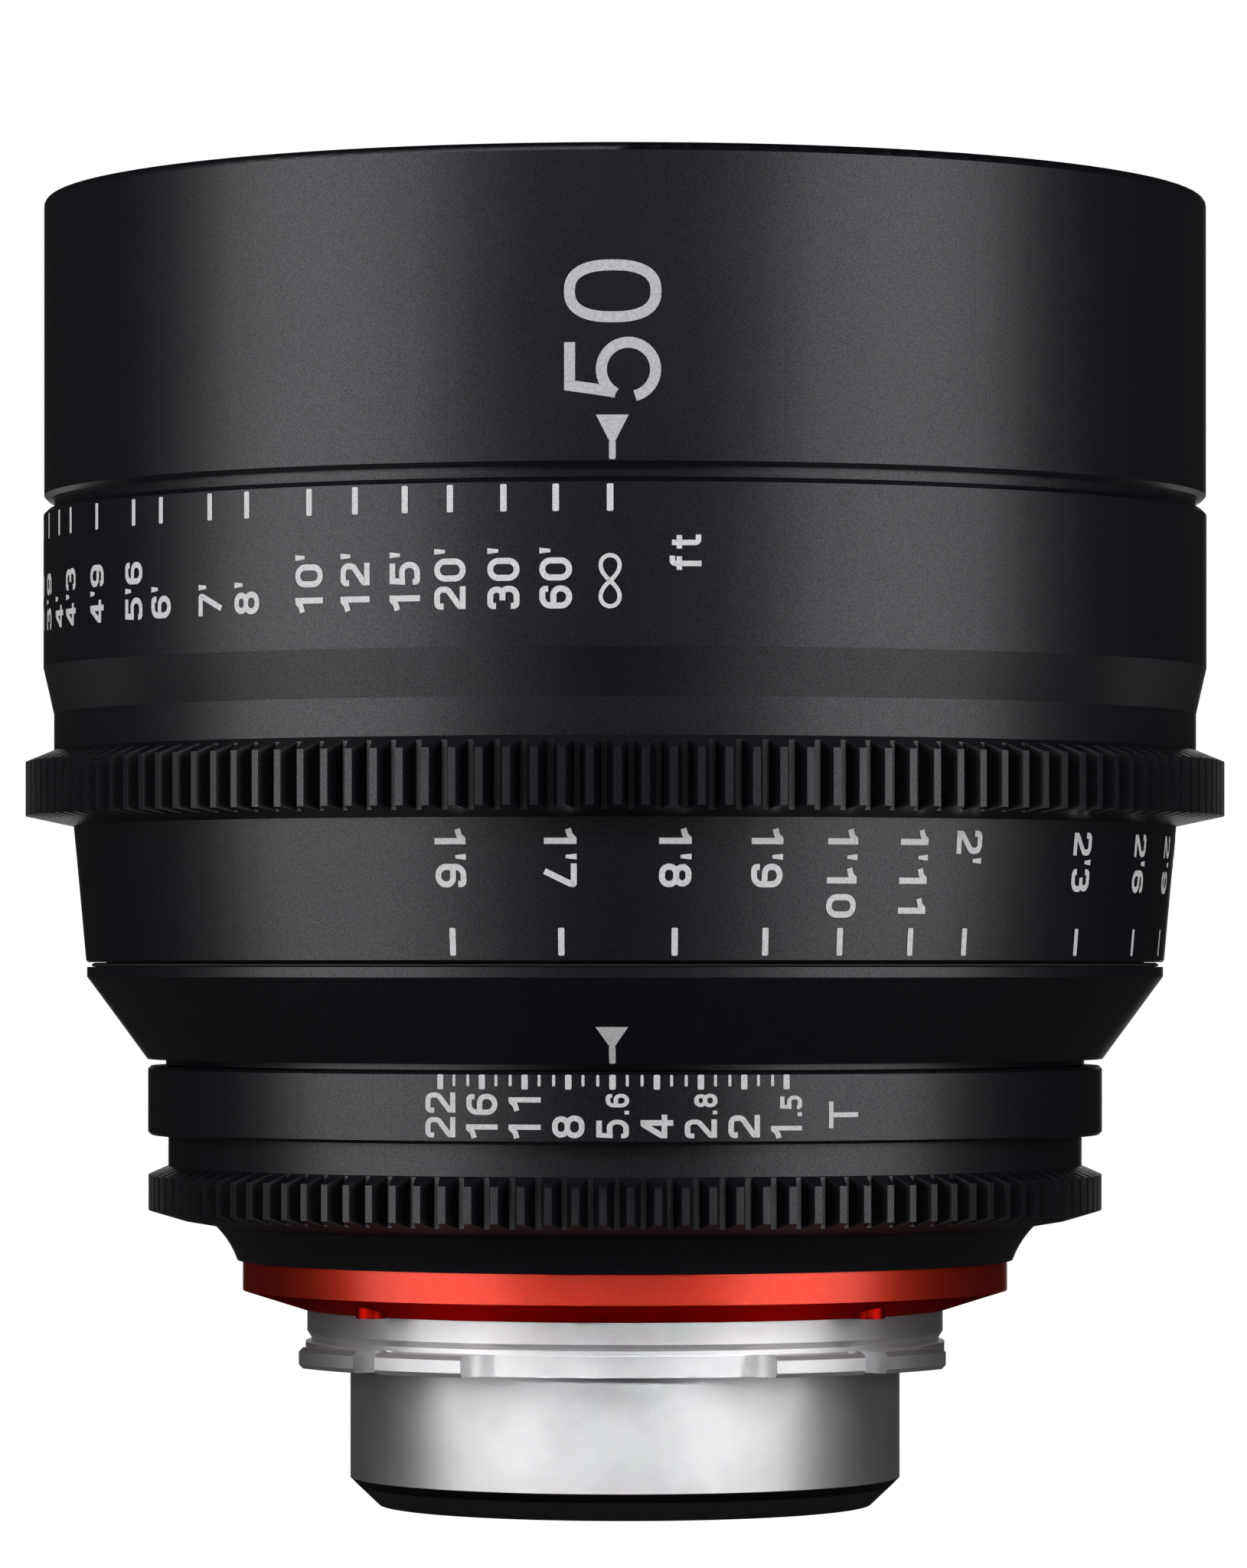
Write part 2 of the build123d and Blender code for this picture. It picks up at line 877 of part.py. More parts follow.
keep("rear_barrel", rear_barrel.part)

with BuildPart() as rear_barrel_screws:
    add(
        spokes(
            rear_top + glide_groove_h / 2 + rear_screw_inset,
            barrel_r - (barrel_r - barrel_bore_r) / 2,
            spigot_r - rear_screw_inset,
            rear_screw_r,
            rear_screw_count,
            rear_screw_angle,
        )
    )
keep("rear_barrel_screws", rear_barrel_screws.part)

with BuildPart() as rear_glide_ring:
    revolve(
        ring_section(
            groove_floor_r + seat_play,
            sleeve_bore_r - turn_play,
            groove_z + seat_play,
            groove_top - seat_play,
        ),
        axis=Axis.Z,
    )
keep("rear_glide_ring", rear_glide_ring.part)

# Front barrel: filter thread, baffle seat and the web that screws to the inner barrel
front_web_top = flange_top + front_web_h
with BuildPart() as front_barrel:
    revolve(
        section(
            (front_web_bore_r, flange_top),
            (front_spigot_r, flange_top),
            (front_spigot_r, front_z),
            (front_r - ring_edge, front_z),
            (front_r, front_z + ring_edge),
            (front_r, front_top),
            (thread_r, front_top),
            (thread_r, thread_z),
            (baffle_seat_r, thread_z),
            (baffle_seat_r, baffle_seat_z),
            (front_wall_r, baffle_seat_z),
            (front_wall_r, front_web_top),
            (front_web_bore_r, front_web_top),
        ),
        axis=Axis.Z,
    )
    rim = front_barrel.faces().sort_by(Axis.Z)[-1].edges().sort_by(SortBy.RADIUS)[-1]
    fillet(rim, (front_r - thread_r) * rim_round_share)
    add(
        pegs(flange_top, front_web_h, front_screw_r + seat_play, front_screw_ring_r, front_screw_count),
        mode=Mode.SUBTRACT,
    )
    add(
        pegs(
            front_web_top - front_screw_head_h - free_play,
            front_screw_head_h + free_play + overrun,
            front_screw_head_r + seat_play,
            front_screw_ring_r,
            front_screw_count,
        ),
        mode=Mode.SUBTRACT,
    )
keep("front_barrel", front_barrel.part)

front_head_z = front_web_top - front_screw_head_h - free_play
with BuildPart() as front_barrel_screws:
    add(pegs(front_head_z, front_screw_head_h, front_screw_head_r, front_screw_ring_r, front_screw_count))
    add(
        pegs(
            front_head_z - front_screw_h + free_play,
            front_screw_h - free_play,
            front_screw_r,
            front_screw_ring_r,
            front_screw_count,
        )
    )
keep("front_barrel_screws", front_barrel_screws.part)

with BuildPart() as front_glide_ring:
    revolve(
        ring_section(front_spigot_r + seat_play, glide_r, grip_top + face_play, front_z),
        axis=Axis.Z,
    )
keep("front_glide_ring", front_glide_ring.part)

# Front baffle: a brim in the front barrel and a funnel of steps that traps stray light
brim_top = thread_z - free_play
mouth_z = brim_top - baffle_drop
tread = (baffle_brim_r - baffle_mouth_r) / baffle_steps
riser = baffle_drop / baffle_steps
stairs = []
for i in range(baffle_steps):
    stairs.append((baffle_brim_r - i * tread, brim_top - i * riser))
    stairs.append((baffle_brim_r - i * tread, brim_top - (i + 1) * riser))
stairs.append((baffle_mouth_r, mouth_z))
with BuildPart() as front_baffle:
    revolve(
        section(
            (baffle_seat_r - seat_play, brim_top),
            *stairs,
            (baffle_mouth_r, mouth_z - baffle_wall),
            (baffle_mouth_r + baffle_wall, mouth_z - baffle_wall),
            (baffle_brim_r + baffle_wall, baffle_seat_z - baffle_wall),
            (front_wall_r - seat_play, baffle_seat_z - baffle_wall),
            (front_wall_r - seat_play, baffle_seat_z),
            (baffle_seat_r - seat_play, baffle_seat_z),
        ),
        axis=Axis.Z,
    )
keep("front_baffle", front_baffle.part)

# Iris ring: scale band, recess, and the seat of its gear
iris_bore_r = barrel_r + turn_play
arm_root_r = iris_bore_r + arm_root_depth
with BuildPart() as iris_ring:
    revolve(
        section(
            (iris_bearing_r + turn_play, iris_z),
            (iris_bore_r, iris_z),
            (iris_seat_r, iris_gear_z),
            (iris_seat_r, iris_gear_top),
            (iris_recess_r, iris_gear_top),
            (iris_recess_r, iris_scale_z),
            (iris_scale_r - iris_scale_edge, iris_scale_z),
            (iris_scale_r, iris_scale_z + iris_scale_edge),
            (iris_scale_r, iris_top - iris_scale_edge),
            (iris_scale_r - iris_scale_edge, iris_top),
            (iris_bore_r, iris_top),
            (iris_bore_r, iris_shoulder_z - face_play),
            (iris_bearing_r + turn_play, iris_shoulder_z - face_play),
        ),
        axis=Axis.Z,
    )
    add(
        radial_bar(
            iris_bore_r - overrun,
            arm_root_r + seat_play,
            arm_w + 2 * seat_play,
            arm_z,
            arm_h,
            arm_angle,
        ),
        mode=Mode.SUBTRACT,
    )
keep("iris_ring", iris_ring.part)

iris_tip_r = gear_module * (iris_teeth / 2 + 1)
with BuildPart() as iris_gear:
    revolve(
        section(
            (iris_seat_r + seat_play, iris_gear_z),
            (iris_tip_r, iris_gear_z + iris_gear_rear_h),
            (iris_tip_r, iris_gear_z + iris_gear_rear_h + iris_gear_w),
            (iris_recess_r, iris_gear_top),
            (iris_seat_r + seat_play, iris_gear_top),
        ),
        axis=Axis.Z,
    )
    add(
        tooth_gaps(iris_teeth, iris_tooth_angle, iris_gear_z - overrun, iris_gear_top + overrun),
        mode=Mode.SUBTRACT,
    )
keep("iris_gear", iris_gear.part)

# Drive arm: a root in the iris ring and a long bar that the iris fork slides along
fork_z = actuator_z
arm_top = land_z - free_play - face_play
with BuildPart() as iris_drive_arm:
    add(radial_bar(arm_inner_r, arm_root_r, arm_w, arm_z, arm_h, arm_angle))
    add(radial_bar(arm_inner_r, arm_inner_r + arm_bar, arm_w, arm_z, arm_top - arm_z, arm_angle))
keep("iris_drive_arm", iris_drive_arm.part)

# Focus ring: grip and far-distance scale, the web for the cam and the sleeve for gear and skirt
sleeve_z = skirt_z + free_play
with BuildPart() as focus_ring:
    revolve(
        section(
            (grip_r - ring_edge, grip_top),
            (grip_r, grip_top - ring_edge),
            (grip_r, grip_z),
            (waist_r, flare_z),
            (waist_r, focus_gear_top),
            (sleeve_r, focus_gear_top),
            (sleeve_r, sleeve_z),
            (sleeve_bore_r, sleeve_z),
            (sleeve_bore_r, focus_gear_top + ring_floor_h),
            (ring_step_r, focus_gear_top + ring_floor_h),
            (ring_step_r, web_z),
            (web_bore_r, web_z),
            (web_bore_r, web_top),
            (ring_bore_r, web_top),
            (ring_bore_r, grip_top),
        ),
        axis=Axis.Z,
    )
    # Arc groove that the fixed stop pin runs in
    with BuildSketch(Plane.XY.offset(web_top - stop_groove_h)):
        stop_arc = CenterArc(
            (0, 0),
            stop_ring_r,
            stop_angle + stop_end_angle,
            -focus_throw - 2 * stop_end_angle,
        )
        SlotArc(stop_arc, 2 * stop_pin_r + free_play)
    extrude(amount=stop_groove_h + face_play, mode=Mode.SUBTRACT)
    add(
        pegs(web_z, web_h, cam_screw_r + seat_play, cam_screw_ring_r, cam_screw_count),
        mode=Mode.SUBTRACT,
    )
    add(
        pegs(
            web_top - cam_screw_head_h - face_play,
            cam_screw_head_h + face_play + overrun,
            cam_screw_head_r + seat_play,
            cam_screw_ring_r,
            cam_screw_count,
        ),
        mode=Mode.SUBTRACT,
    )
keep("focus_ring", focus_ring.part)

focus_tip_r = gear_module * (focus_teeth / 2 + 1)
with BuildPart() as focus_gear:
    revolve(
        section(
            (sleeve_r + seat_play, skirt_top),
            (skirt_front_r, skirt_top),
            (focus_tip_r, skirt_top + focus_gear_rear_h),
            (focus_tip_r, skirt_top + focus_gear_rear_h + focus_gear_w),
            (waist_r, focus_gear_top),
            (sleeve_r + seat_play, focus_gear_top),
        ),
        axis=Axis.Z,
    )
    add(
        tooth_gaps(focus_teeth, focus_tooth_angle, skirt_top - overrun, focus_gear_top + overrun),
        mode=Mode.SUBTRACT,
    )
keep("focus_gear", focus_gear.part)

with BuildPart() as near_scale_ring:
    revolve(
        section(
            (sleeve_r + seat_play, skirt_z),
            (skirt_rear_r - skirt_edge, skirt_z),
            (skirt_rear_r, skirt_z + skirt_edge),
            (skirt_front_r, skirt_top),
            (sleeve_r + seat_play, skirt_top),
        ),
        axis=Axis.Z,
    )
keep("near_scale_ring", near_scale_ring.part)

# Fixed stop pin that ends the focus ring's turn
with BuildPart() as focus_stop_pin:
    stop_pin_z = web_top - stop_groove_h + face_play
    add(pegs(stop_pin_z, flange_top - stop_pin_z, stop_pin_r, stop_ring_r, 1, stop_angle))
keep("focus_stop_pin", focus_stop_pin.part)

# Focus cam: a sleeve on the inner barrel with one rising slot for each follower
cam_lead = focus_travel * 360 / focus_throw
cam_turn = focus_throw + 2 * cam_end_angle
cam_track_z = follower_z - cam_lead * cam_end_angle / 360
with BuildPart() as cam_slot:
    with BuildLine() as track:
        Helix(
            cam_lead,
            cam_lead * cam_turn / 360,
            (cam_bore_r + cam_r) / 2,
            (0, 0, cam_track_z),
            lefthand=True,
        )
    with BuildSketch(Plane(origin=track.line @ 0, x_dir=(1, 0, 0), z_dir=track.line % 0)):
        Rectangle(cam_wall + 2 * overrun, 2 * (follower_r + follower_play))
    sweep(path=track.line, is_frenet=True)
with BuildPart() as focus_cam:
    revolve(
        section(
            (cam_bore_r, cam_z),
            (cam_r, cam_z),
            (cam_r, web_z - cam_flange_h),
            (sleeve_bore_r - cam_flange_play, web_z - cam_flange_h),
            (sleeve_bore_r - cam_flange_play, web_z),
            (cam_bore_r, web_z),
        ),
        axis=Axis.Z,
    )
    with PolarLocations(0, follower_count, follower_angle + cam_end_angle):
        add(cam_slot.part, mode=Mode.SUBTRACT)
    add(
        pegs(
            web_z - cam_flange_h,
            cam_flange_h,
            cam_screw_r + seat_play,
            cam_screw_ring_r,
            cam_screw_count,
        ),
        mode=Mode.SUBTRACT,
    )
keep("focus_cam", focus_cam.part)

cam_head_z = web_top - cam_screw_head_h - face_play
with BuildPart() as focus_cam_screws:
    add(pegs(cam_head_z, cam_screw_head_h, cam_screw_head_r, cam_screw_ring_r, cam_screw_count))
    add(pegs(cam_head_z - cam_screw_h, cam_screw_h, cam_screw_r, cam_screw_ring_r, cam_screw_count))
keep("focus_cam_screws", focus_cam_screws.part)

# Glass, from the front group to the rear group
vertex_7 = front_group_z
vertex_6 = vertex_7 + glass_4
vertex_5 = vertex_6 + glass_3
vertex_4 = vertex_5 + air_2
vertex_3 = vertex_4 + glass_2
vertex_2 = vertex_3 + air_1
vertex_1 = vertex_2 + glass_1
vertex_8 = rear_group_z
vertex_9 = vertex_8 - glass_5
vertex_10 = vertex_9 - glass_6
vertex_11 = vertex_10 - air_6
vertex_12 = vertex_11 - glass_7
vertex_13 = vertex_12 - glass_8
vertex_14 = vertex_13 - air_8
vertex_15 = vertex_14 - glass_9
elements = [
    glass(vertex_1, curve_1, glass_1_r, vertex_2, curve_2, glass_1_clear_r, glass_1_r),
    glass(vertex_3, curve_3, glass_2_r, vertex_4, curve_4, glass_2_r, glass_2_r),
    glass(vertex_5, curve_5, glass_3_r, vertex_6 + cement_play, curve_6, glass_3_r, glass_3_r),
    glass(vertex_6, curve_6, glass_3_r, vertex_7, curve_7, glass_4_clear_r, glass_3_r),
    glass(vertex_8, curve_8, glass_5_clear_r, vertex_9 + cement_play, curve_9, glass_5_r, glass_5_r),
    glass(vertex_9, curve_9, glass_5_r, vertex_10, curve_10, glass_5_r, glass_5_r),
    glass(vertex_11, curve_11, rear_bore_r, vertex_12 + cement_play, curve_12, rear_bore_r, rear_bore_r),
    glass(vertex_12, curve_12, rear_bore_r, vertex_13, curve_13, glass_8_clear_r, rear_bore_r),
    glass(vertex_14, curve_14, rear_bore_r, vertex_15, curve_15, rear_bore_r, rear_bore_r),
]
for i, element in enumerate(elements):
    keep(f"element_{i + 1}", element)

# Heights where the glass seats in its cells
seat_1_z = surface_z(vertex_1, curve_1, glass_1_r - retainer_w)
rest_1_z = surface_z(vertex_2, curve_2, glass_1_clear_r)
spacer_1_bore_r = glass_2_r - spacer_w / 2
rest_2_z = surface_z(vertex_3, curve_3, spacer_1_bore_r)
step_1_z = surface_z(vertex_3, curve_3, glass_2_r)
step_2_z = surface_z(vertex_4, curve_4, glass_3_r + seat_play) - seat_play
spacer_2_bore_r = glass_3_r - spacer_w
rest_3_z = surface_z(vertex_5, curve_5, spacer_2_bore_r)
rest_4_z = surface_z(vertex_4, curve_4, spacer_2_bore_r) - seat_play
seat_4_z = surface_z(vertex_7, curve_7, glass_4_clear_r)
rest_5_z = surface_z(vertex_8, curve_8, glass_5_clear_r)
shoulder_6_z = surface_z(vertex_10, curve_10, rear_shoulder_r) - seat_play
shoulder_7_z = surface_z(vertex_11, curve_11, rear_shoulder_r) + seat_play
rest_8_z = surface_z(vertex_13, curve_13, glass_8_clear_r)
spacer_8_bore_r = rear_bore_r - spacer_w
rest_9_z = surface_z(vertex_14, curve_14, spacer_8_bore_r)
seat_9_z = surface_z(vertex_15, curve_15, rear_bore_r - retainer_w)

# Front cell: holds the front group, guides on its land and closes over the iris
cell_front_z = seat_1_z + cell_front_margin
cell_nose_z = cell_front_z - cell_nose_h
with BuildPart() as front_cell:
    revolve(
        section(
            (housing_r + seat_play, iris_base_z),
            (cell_flange_r, iris_base_z),
            (cell_flange_r, land_z),
            (land_r, land_z),
            (land_r, land_z + land_h),
            (cell_neck_r, land_z + land_h),
            (cell_neck_r, cell_nose_z),
            (cell_nose_r, cell_nose_z),
            (cell_nose_r, cell_front_z),
            (glass_1_r + seat_play, cell_front_z),
            (glass_1_r + seat_play, step_1_z),
            (glass_2_r + seat_play, step_1_z),
            (glass_2_r + seat_play, step_2_z),
            (glass_3_r + seat_play, step_2_z),
            (glass_3_r + seat_play, seat_4_z),
            (front_shoulder_r, seat_4_z),
            (front_clear_r, cell_ledge_z),
            (housing_r + seat_play, cell_ledge_z),
        ),
        axis=Axis.Z,
    )
    add(
        spokes(
            follower_z,
            land_r - follower_root_depth,
            land_r + overrun,
            follower_r + seat_play,
            follower_count,
            follower_angle,
        ),
        mode=Mode.SUBTRACT,
    )
    # Window that the iris fork reaches through
    fork_half_angle = degrees(asin(fork_w / 2 / (housing_r - housing_wall)))
    window_half_angle = iris_half_throw + fork_half_angle + window_end_angle
    add(
        arc_block(
            housing_r - overrun,
            cell_flange_r + overrun,
            window_half_angle,
            fork_z - window_play,
            actuator_h + 2 * window_play,
            arm_angle,
        ),
        mode=Mode.SUBTRACT,
    )
keep("front_cell", front_cell.part)

# Rear cell: flange, body and the nose that slides in the barrel's floor
rear_body_z = floor_top + cell_stop_gap
cell_tail_z = seat_9_z - seat_play - retainer_h
rear_end_z = cell_tail_z - guard_reach
guard_lap_z = cell_tail_z + guard_lap_h
with BuildPart() as rear_cell:
    revolve(
        section(
            (glass_5_r + seat_play, iris_base_z),
            (cell_flange_r, iris_base_z),
            (cell_flange_r, iris_base_z - cell_flange_h),
            (rear_body_r, iris_base_z - cell_flange_h),
            (rear_body_r, rear_body_z),
            (nose_r, rear_body_z),
            (nose_r, guard_lap_z),
            (nose_r - guard_lap_w - seat_play, guard_lap_z),
            (nose_r - guard_lap_w - seat_play, cell_tail_z),
            (rear_bore_r + seat_play, cell_tail_z),
            (rear_bore_r + seat_play, shoulder_7_z),
            (rear_shoulder_r, shoulder_7_z),
            (rear_shoulder_r, shoulder_6_z),
            (glass_5_r + seat_play, shoulder_6_z),
        ),
        axis=Axis.Z,
    )
keep("rear_cell", rear_cell.part)

# Rear guard: lengthens the nose past the last glass and closes it in the mount's bore
with BuildPart() as rear_guard:
    revolve(
        section(
            (rear_bore_r + seat_play, rear_end_z),
            (nose_r, rear_end_z),
            (nose_r, guard_lap_z - seat_play),
            (nose_r - guard_lap_w, guard_lap_z - seat_play),
            (nose_r - guard_lap_w, cell_tail_z - seat_play),
            (rear_bore_r + seat_play, cell_tail_z - seat_play),
        ),
        axis=Axis.Z,
    )
keep("rear_guard", rear_guard.part)

with BuildPart() as cam_followers:
    add(
        spokes(
            follower_z,
            land_r - follower_root_depth,
            cam_r - follower_short,
            follower_r,
            follower_count,
            follower_angle,
        )
    )
keep("cam_followers", cam_followers.part)

# Spacers and retaining rings
with BuildPart() as front_retainer:
    revolve(
        ring_section(glass_1_r - retainer_w, glass_1_r, seat_1_z + seat_play, cell_front_z - free_play),
        axis=Axis.Z,
    )
keep("front_retainer", front_retainer.part)

with BuildPart() as spacer_1_2:
    revolve(
        ring_section(spacer_1_bore_r, glass_1_r, rest_2_z + seat_play, rest_1_z),
        axis=Axis.Z,
    )
keep("spacer_1_2", spacer_1_2.part)

with BuildPart() as spacer_2_3:
    revolve(
        ring_section(spacer_2_bore_r, glass_3_r, rest_3_z + seat_play, rest_4_z),
        axis=Axis.Z,
    )
keep("spacer_2_3", spacer_2_3.part)

with BuildPart() as doublet_retainer:
    revolve(
        ring_section(glass_5_clear_r + seat_play, glass_5_r, rest_5_z, iris_base_z - face_play),
        axis=Axis.Z,
    )
keep("doublet_retainer", doublet_retainer.part)

with BuildPart() as spacer_8_9:
    revolve(
        ring_section(spacer_8_bore_r, rear_bore_r, rest_9_z + seat_play, rest_8_z),
        axis=Axis.Z,
    )
keep("spacer_8_9", spacer_8_9.part)

with BuildPart() as rear_retainer:
    revolve(
        ring_section(
            rear_bore_r - retainer_w,
            rear_bore_r,
            seat_9_z - seat_play - retainer_h,
            seat_9_z - seat_play,
        ),
        axis=Axis.Z,
    )
keep("rear_retainer", rear_retainer.part)

# Iris housing: base plate with the pivot holes, and its wall
with BuildPart() as iris_housing:
    revolve(
        section(
            (housing_bore_r, iris_base_z),
            (housing_r, iris_base_z),
            (housing_r, cell_ledge_z),
            (housing_r - housing_wall, cell_ledge_z),
            (housing_r - housing_wall, iris_base_z + plate_h),
            (housing_bore_r, iris_base_z + plate_h),
        ),
        axis=Axis.Z,
    )
    add(
        pegs(iris_base_z, plate_h, pin_r + pin_play, pivot_r, blade_count),
        mode=Mode.SUBTRACT,
    )
    add(
        arc_block(
            housing_r - housing_wall - overrun,
            housing_r + overrun,
            window_half_angle,
            fork_z - window_play,
            actuator_h + 2 * window_play,
            arm_angle,
        ),
        mode=Mode.SUBTRACT,
    )
keep("iris_housing", iris_housing.part)

with BuildPart() as iris_cover:
    revolve(
        ring_section(housing_bore_r, housing_r - housing_wall - seat_play, cover_z, cell_ledge_z),
        axis=Axis.Z,
    )
keep("iris_cover", iris_cover.part)


def drive_pin_place(ring_turn):
    """Where a blade's drive pin stands in the actuator ring, for a turn of the ring from rest."""
    swing = radians(rest_swing + blade_ratio * ring_turn)
    x = pivot_r + lever * sin(swing)
    y = -lever * cos(swing)
    angle = atan2(y, x) - radians(ring_turn)
    return (hypot(x, y) * cos(angle), hypot(x, y) * sin(angle))


# Iris actuator: a slotted ring that swings the blades, with the fork that the drive arm turns
slot_half_turn = iris_half_throw + slot_end_angle
with BuildPart() as iris_actuator:
    revolve(
        ring_section(actuator_bore_r, actuator_r, actuator_z, actuator_z + actuator_h),
        axis=Axis.Z,
    )
    add(
        radial_bar(
            (actuator_bore_r + actuator_r) / 2 + lever_w,
            arm_inner_r + arm_bar + fork_reach,
            fork_w,
            fork_z,
            actuator_h,
            arm_angle,
        )
    )
    add(
        radial_bar(
            arm_inner_r - fork_play,
            arm_inner_r + arm_bar + fork_reach + overrun,
            arm_w + 2 * fork_play,
            fork_z,
            actuator_h,
            arm_angle,
        ),
        mode=Mode.SUBTRACT,
    )
    with BuildSketch(Plane.XY.offset(actuator_z)):
        pin_path = ThreePointArc(
            drive_pin_place(-slot_half_turn),
            drive_pin_place(0),
            drive_pin_place(slot_half_turn),
        )
        with PolarLocations(0, blade_count):
            SlotArc(pin_path, 2 * slot_r)
    extrude(amount=actuator_h, mode=Mode.SUBTRACT)
keep("iris_actuator", iris_actuator.part)

# Iris blades, each in a layer of its own, with a pivot pin below and a drive pin above
for i in range(blade_count):
    layer_z = blade_z + i * blade_pitch
    turn = radians(i * 360 / blade_count)
    swung = turn + radians(rest_swing)
    pivot = (pivot_r * cos(turn), pivot_r * sin(turn), layer_z)
    blade_plane = Plane(origin=pivot, x_dir=(cos(swung), sin(swung), 0), z_dir=(0, 0, 1))
    with BuildPart() as blade:
        with BuildSketch(blade_plane):
            with BuildLine():
                inner = CenterArc((-pivot_r, 0), blade_inner_r, -blade_lead_angle, blade_span)
                outer = CenterArc((-pivot_r, 0), blade_outer_r, -blade_lead_angle, blade_span)
                Line(inner @ 0, outer @ 0)
                Line(inner @ 1, outer @ 1)
            make_face()
            Circle(tab_r)
            with Locations((0, -lever / 2)):
                SlotCenterToCenter(lever, lever_w, rotation=90)
        extrude(amount=blade_thick)
        with BuildSketch(blade_plane):
            Circle(pin_r)
        extrude(amount=-(layer_z - iris_base_z - free_play))
        with BuildSketch(blade_plane):
            with Locations((0, -lever)):
                Circle(pin_r)
        extrude(amount=actuator_z + actuator_h - face_play - layer_z)
    keep(f"iris_blade_{i + 1:02d}", blade.part)

os.makedirs("parts", exist_ok=True)
for name, shape in pieces.items():
    export_step(shape, f"parts/{name}.step")
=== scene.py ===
import bpy, json, math
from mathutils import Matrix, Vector


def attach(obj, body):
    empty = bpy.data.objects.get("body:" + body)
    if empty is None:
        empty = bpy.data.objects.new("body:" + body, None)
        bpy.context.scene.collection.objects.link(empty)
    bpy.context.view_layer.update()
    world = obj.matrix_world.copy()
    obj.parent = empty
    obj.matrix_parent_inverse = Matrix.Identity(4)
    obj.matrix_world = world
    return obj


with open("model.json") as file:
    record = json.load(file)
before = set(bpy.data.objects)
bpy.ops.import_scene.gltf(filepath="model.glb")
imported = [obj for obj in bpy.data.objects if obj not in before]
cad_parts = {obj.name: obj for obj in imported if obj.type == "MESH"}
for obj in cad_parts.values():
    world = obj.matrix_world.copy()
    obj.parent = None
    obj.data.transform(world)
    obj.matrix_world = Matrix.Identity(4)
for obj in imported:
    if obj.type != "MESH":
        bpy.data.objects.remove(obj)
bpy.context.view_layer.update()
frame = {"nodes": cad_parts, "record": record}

MM = 0.001
nodes = frame["nodes"]

# The seat plane is z = 0, the index marks face -Y and the lens stands on its mount. Unless MM follows a number,
# lengths are in mm. A sloping surface is given by two (height, radius) pairs.
CAMERA_DISTANCE = 744 * MM
CAMERA_HEIGHT = 39.15 * MM
CAMERA_TURN = 1.1
FOCAL_PIXELS = 9878
SHIFT_PIXELS = (-2, 233.5)
PHOTO_H = 2048
SENSOR = 36
FRONT_R = 57.0
GRIP_R = 57.05
SKIRT = ((39.2, 52.9), (52.5, 54.1))
CONE = ((29.75, 46.9), (37.8, 52.8))
IRIS_R = 46.84
RED_EDGE_Z = 7.1
TUBE_EDGE_Z = -11.25
FLOOR_Z = -14.02 * MM


# Camera

camera_data = bpy.data.cameras.new("camera")
camera = bpy.data.objects.new("camera", camera_data)
bpy.context.scene.collection.objects.link(camera)
camera_data.sensor_width = SENSOR
camera_data.lens = FOCAL_PIXELS / PHOTO_H * SENSOR
camera_data.shift_x = SHIFT_PIXELS[0] / PHOTO_H
camera_data.shift_y = SHIFT_PIXELS[1] / PHOTO_H
camera_data.clip_start = 0.01
turn = math.radians(CAMERA_TURN)
camera.location = (CAMERA_DISTANCE * math.sin(turn), -CAMERA_DISTANCE * math.cos(turn), CAMERA_HEIGHT)
camera.rotation_euler = (math.radians(90), 0, turn)
bpy.context.scene.camera = camera


# Object and material helpers

EDGE_BLUR = 0.03 * MM
# Noise scales, in waves per metre
GRAIN_SCALE = 5200
MOTTLE_SCALE = 90
TURNING_SCALE = 2600
GRIT_SCALE = 7600
STEEL_LINE_SCALE = 9000
HAZE_SCALE = 160
DUST_SCALE = 1400
PAINT_SCALE = 4200
# Strength and depth of each bump
GRAIN_BUMP = (0.6, 0.012 * MM)
LINE_BUMP = (0.5, 0.004 * MM)
PAINT_BUMP = (0.4, 0.006 * MM)
ANODISED_TURN = 0.002
STEEL_TURN = 0.0015
TURNING_SHARE = 0.25
GRIT_RANGE = (0.3, 0.7)
GRIT_SPECULAR = (0.33, 0.69)
COAT_ROUGH = 0.27
BLACK_BEVEL = (0.012, 0.012, 0.013)
GLASS_IOR = 1.5
FILM_IOR = 1.38
DUST_RANGE = (0.62, 0.8)
DUST_ROUGH = 0.02


def new_object(name, vertices, faces):
    mesh = bpy.data.meshes.new(name)
    mesh.from_pydata(vertices, [], faces)
    mesh.update()
    obj = bpy.data.objects.new(name, mesh)
    bpy.context.scene.collection.objects.link(obj)
    return obj


def dress(obj, material):
    obj.data.materials.clear()
    obj.data.materials.append(material)


def new_material(name):
    material = bpy.data.materials.new(name)
    material.use_nodes = True
    tree = material.node_tree
    return material, tree.nodes, tree.links, tree.nodes["Principled BSDF"]


def noise(tree_nodes, links, vector, scale, detail=2.0, rough=0.5):
    n = tree_nodes.new("ShaderNodeTexNoise")
    n.inputs["Scale"].default_value = scale
    n.inputs["Detail"].default_value = detail
    n.inputs["Roughness"].default_value = rough
    links.new(vector, n.inputs["Vector"])
    return n.outputs["Fac"]


def ramp(tree_nodes, links, value, low, dark, high, light):
    """A colour that goes from dark to light while the value goes from low to high."""
    r = tree_nodes.new("ShaderNodeValToRGB")
    first, last = r.color_ramp.elements
    first.position, first.color = low, (*dark, 1)
    last.position, last.color = high, (*light, 1)
    links.new(value, r.inputs["Fac"])
    return r.outputs["Color"]


def calculate(tree_nodes, links, operation, *values):
    """The result of a math node that is given sockets or plain numbers."""
    m = tree_nodes.new("ShaderNodeMath")
    m.operation = operation
    for i, value in enumerate(values):
        if isinstance(value, (int, float)):
            m.inputs[i].default_value = value
        else:
            links.new(value, m.inputs[i])
    return m.outputs[0]


